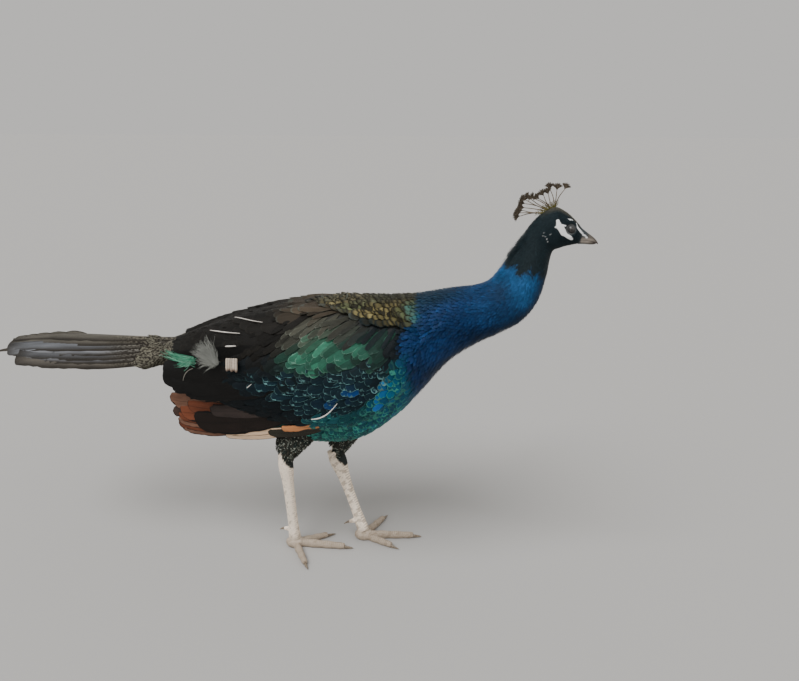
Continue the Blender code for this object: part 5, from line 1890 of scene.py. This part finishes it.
# ---------------------------------------------------------------- loose down, barbs and bare shafts
# Bare broken shafts that lie on the coat: place and degrees up the side of both ends, radius, and
# degrees that the middle hangs.
SHAFTS = ((4.80, -17.5, 5.55, -6.5, 0.0010, 3.0), (2.60, 65, 3.43, 50.5, 0.0007, 2.0),
          (2.05, 50.5, 2.88, 42, 0.0009, 1.0), (2.55, 31, 2.82, 31, 0.0012, 0.0),
          (3.10, 0.5, 3.23, 3.5, 0.0006, 0.0))
SHAFT_HEIGHT = 0.0050
ROD_ROWS = 20
ROD_SIDES = 8
SHAFT_WHITE = paint(214, 208, 200)
# Row of cut quills: place of the first, step between them, degrees up the side of both ends.
STUBS = (2.63, 0.058, 21.0, 11.0)
STUB_COUNT = 5
STUB_RADIUS = 0.0022
STUB_HEIGHT = 0.0080
STUB_PALE = paint(188, 174, 158)
STUB_BROWN = paint(112, 94, 82)
DOWN_GREY = paint(146, 148, 142)
EMERALD = paint(78, 156, 124)
EMERALD_PALE = paint(150, 204, 178)
HAIR_PALE = paint(150, 146, 136)
DOWN_ROOT = np.array([-0.2678, -0.0850, 0.3475])
DOWN_BARBS = 520
EMERALD_BARBS = 150
BACK_WISPS = 26
MOSTLY_FLAT = (1, 0.4, 1)       # less spread to the side than along and up


def right_side(place, side, height):
    return over_side(place, side, height, -1)


def wisps(batch, root, tips, bend, width, tint, rng, jitter=0.002):
    """Loose barbs to many tips, from near one root or from a root for each."""
    count = len(tips)
    shape = Shape(8, 3, tip=0.3, arch=0.1, root=0.8)
    starts = root + rng.normal(0, jitter, (count, 3))
    handles = (starts + tips) / 2 + bend
    colours = tint * rng.uniform(0.7, 1.25, (count, 1))
    ribbons(batch, shape, starts, handles, tips, -LEFT, width * rng.uniform(0.7, 1.2, count),
            colours, colours, strips(count, shape), rng)


def make_down_tuft():
    """A grey down feather that stands out over the rear of the right wing."""
    rng = np.random.default_rng(91)
    count = DOWN_BARBS
    turn = rng.normal(2.45, 0.40, count) + (rng.uniform(0, 1, count) > 0.75) * 0.55
    length = rng.uniform(0.010, 0.043, count) * (1 - 0.25 * (turn > 2.9))
    outward = -0.14 + 0.13 * rng.normal(size=count) + 6.0 * length
    way = np.stack([np.cos(turn), outward, np.sin(turn)], -1)
    curl = rng.normal(0, 0.006, (count, 3)) * MOSTLY_FLAT
    batch = Batch()
    wisps(batch, DOWN_ROOT, DOWN_ROOT + way * length[:, None], curl, 0.00048, DOWN_GREY, rng)
    batch.make("down_tuft", plumage("down_paint", 0.8, contrast=0.1))


def make_emerald_barbs():
    """Loose green barbs at the root of the tail, like a worn brush."""
    rng = np.random.default_rng(92)
    count = EMERALD_BARBS
    part = rng.uniform(0, 1, count)
    tips = right_side(0.35 + 0.85 * part, 23 - 20 * part, 0.010)
    tips = tips + rng.normal(0, 0.0045, (count, 3)) * MOSTLY_FLAT
    shorter = rng.uniform(0.55, 1.0, (count, 1))
    root = right_side(1.68, 16.0, 0.0105)
    tips = root + (tips - root) * shorter
    tint = mix(EMERALD, EMERALD_PALE, (rng.uniform(0, 1, count) > 0.6) * rng.uniform(0.3, 1, count))
    curl = rng.normal(0, 0.004, (count, 3)) * MOSTLY_FLAT + (0, -0.002, -0.002)
    batch = Batch()
    wisps(batch, root, tips, curl, 0.00085, tint, rng, 0.0028)
    hair = right_side([1.27], [-16.5], 0.016)
    wisps(batch, right_side(1.72, 9.0, 0.014), hair, np.array([-0.008, 0, 0.010]), 0.0010,
          HAIR_PALE, rng, 0.0)
    batch.make("emerald_barbs", plumage("emerald_paint", 0.45, contrast=0.2))


def make_back_wisps():
    """Small curled wisps that stand up on the ridge behind the mantle."""
    rng = np.random.default_rng(93)
    count = BACK_WISPS
    roots = right_side(rng.uniform(4.75, 5.55, count), rng.uniform(76, 90, count), 0.001)
    rise = np.stack([rng.normal(0.002, 0.003, count), rng.normal(0, 0.002, count),
                     rng.uniform(0.004, 0.009, count)], -1)
    batch = Batch()
    wisps(batch, roots, roots + rise, rng.normal(0, 0.0015, (count, 3)), 0.0007, SCAPULAR_RIM, rng, 0.0)
    batch.make("back_wisps", plumage("wisp_paint", 0.6))


def make_bare_shafts():
    """White shafts with their vanes worn away, and a row of pale cut quills on the right wing."""
    batch = Batch()
    way = np.linspace(0, 1, ROD_ROWS)

    def add_rod(line, thick, up, colour):
        batch.add_tube(tube(line, thick, thick, up, ROD_SIDES), MIDDLE_OF_VANE, colour)

    for place, side, last_place, last_side, radius, hang in SHAFTS:
        sides = side + (last_side - side) * way - hang * np.sin(math.pi * way)
        line = right_side(place + (last_place - place) * way, sides, SHAFT_HEIGHT)
        thick = radius * (0.25 + 0.75 * np.sin(math.pi * (0.10 + 0.82 * way ** 0.7)))
        add_rod(line, thick, np.array([0.0, -1.0, 0.1]), SHAFT_WHITE)
    first, step, top, bottom = STUBS
    for index in range(STUB_COUNT):
        low = bottom + 0.8 * (index % 2)
        place = np.full(ROD_ROWS, first + step * index)
        line = right_side(place, top + (low - top) * way, STUB_HEIGHT + 0.0004 * (index % 2))
        thick = STUB_RADIUS * (1 - 0.4 * np.abs(2 * way - 1) ** 12)
        shade = mix(STUB_PALE * (1 - 0.12 * (index % 3)), STUB_BROWN, smooth(0.72, 0.95, way))
        add_rod(line, thick, FORWARD, shade)
    batch.make("bare_shafts", horn("shaft_paint", 0.45))


# ---------------------------------------------------------------- stage
FLOOR_GREY = (0.405, 0.397, 0.385)
WORLD_COLOUR = (0.80, 0.785, 0.76, 1)
WORLD_STRENGTH = 0.78
# Name, place, power and spread in degrees of each lamp.
LAMPS = (("key_light", (-1.2, -1.6, 3.0), 3.0, 40), ("fill_light", (2.4, -2.0, 1.2), 0.80, 80))


def make_stage():
    plain = Paint("plain_floor", 0.85)
    bpy.ops.mesh.primitive_plane_add(size=30, location=(0, 0, 0))
    floor = bpy.context.object
    floor.name = "floor"
    floor.data.materials.append(plain.colour(FLOOR_GREY))


def make_lights():
    """Large far lamps that shine towards the bird, and an even pale world."""
    for name, place, power, spread in LAMPS:
        lamp = bpy.data.lights.new(name, "SUN")
        lamp.angle = math.radians(spread)
        lamp.energy = power
        holder = bpy.data.objects.new(name, lamp)
        holder.location = place
        holder.rotation_euler = (-Vector(place)).to_track_quat("-Z", "Y").to_euler()
        bpy.context.scene.collection.objects.link(holder)
    world = bpy.data.worlds.new("studio")
    world.use_nodes = True
    colour, strength = world.node_tree.nodes["Background"].inputs[:2]
    colour.default_value = WORLD_COLOUR
    strength.default_value = WORLD_STRENGTH
    bpy.context.scene.world = world


CAMERA_PLACE = (0.1341, -1.0918, 0.7230)    # in the bird's own frame
CAMERA_TILT = 72                # degrees up from looking straight down
CAMERA_TURN = 7                 # degrees to the left of straight across
CAMERA_LENS = 33.34
SENSOR_WIDTH = 36


def make_camera():
    lens = bpy.data.cameras.new("camera")
    lens.sensor_width = SENSOR_WIDTH
    lens.lens = CAMERA_LENS
    camera = bpy.data.objects.new("camera", lens)
    camera.location = Vector(CAMERA_PLACE) + Vector(AHEAD)
    camera.rotation_euler = (math.radians(CAMERA_TILT), 0, math.radians(CAMERA_TURN))
    bpy.context.scene.collection.objects.link(camera)
    bpy.context.scene.camera = camera


make_skin()
head_coat(np.random.default_rng(1))
neck_coat(np.random.default_rng(2))
belly_coat(np.random.default_rng(3))
mantle_coat(np.random.default_rng(4))
covert_coat(np.random.default_rng(5))
rump_coat(np.random.default_rng(6))
vent_coat(np.random.default_rng(9))
tail_covert_coat(np.random.default_rng(8))
make_tertials()
make_flight_feathers()
make_tail_feathers()
thigh_coat(np.random.default_rng(7))
make_eyes()
make_bill()
make_crest()
make_down_tuft()
make_emerald_barbs()
make_back_wisps()
make_bare_shafts()
make_claws()
make_stage()
make_lights()
make_camera()
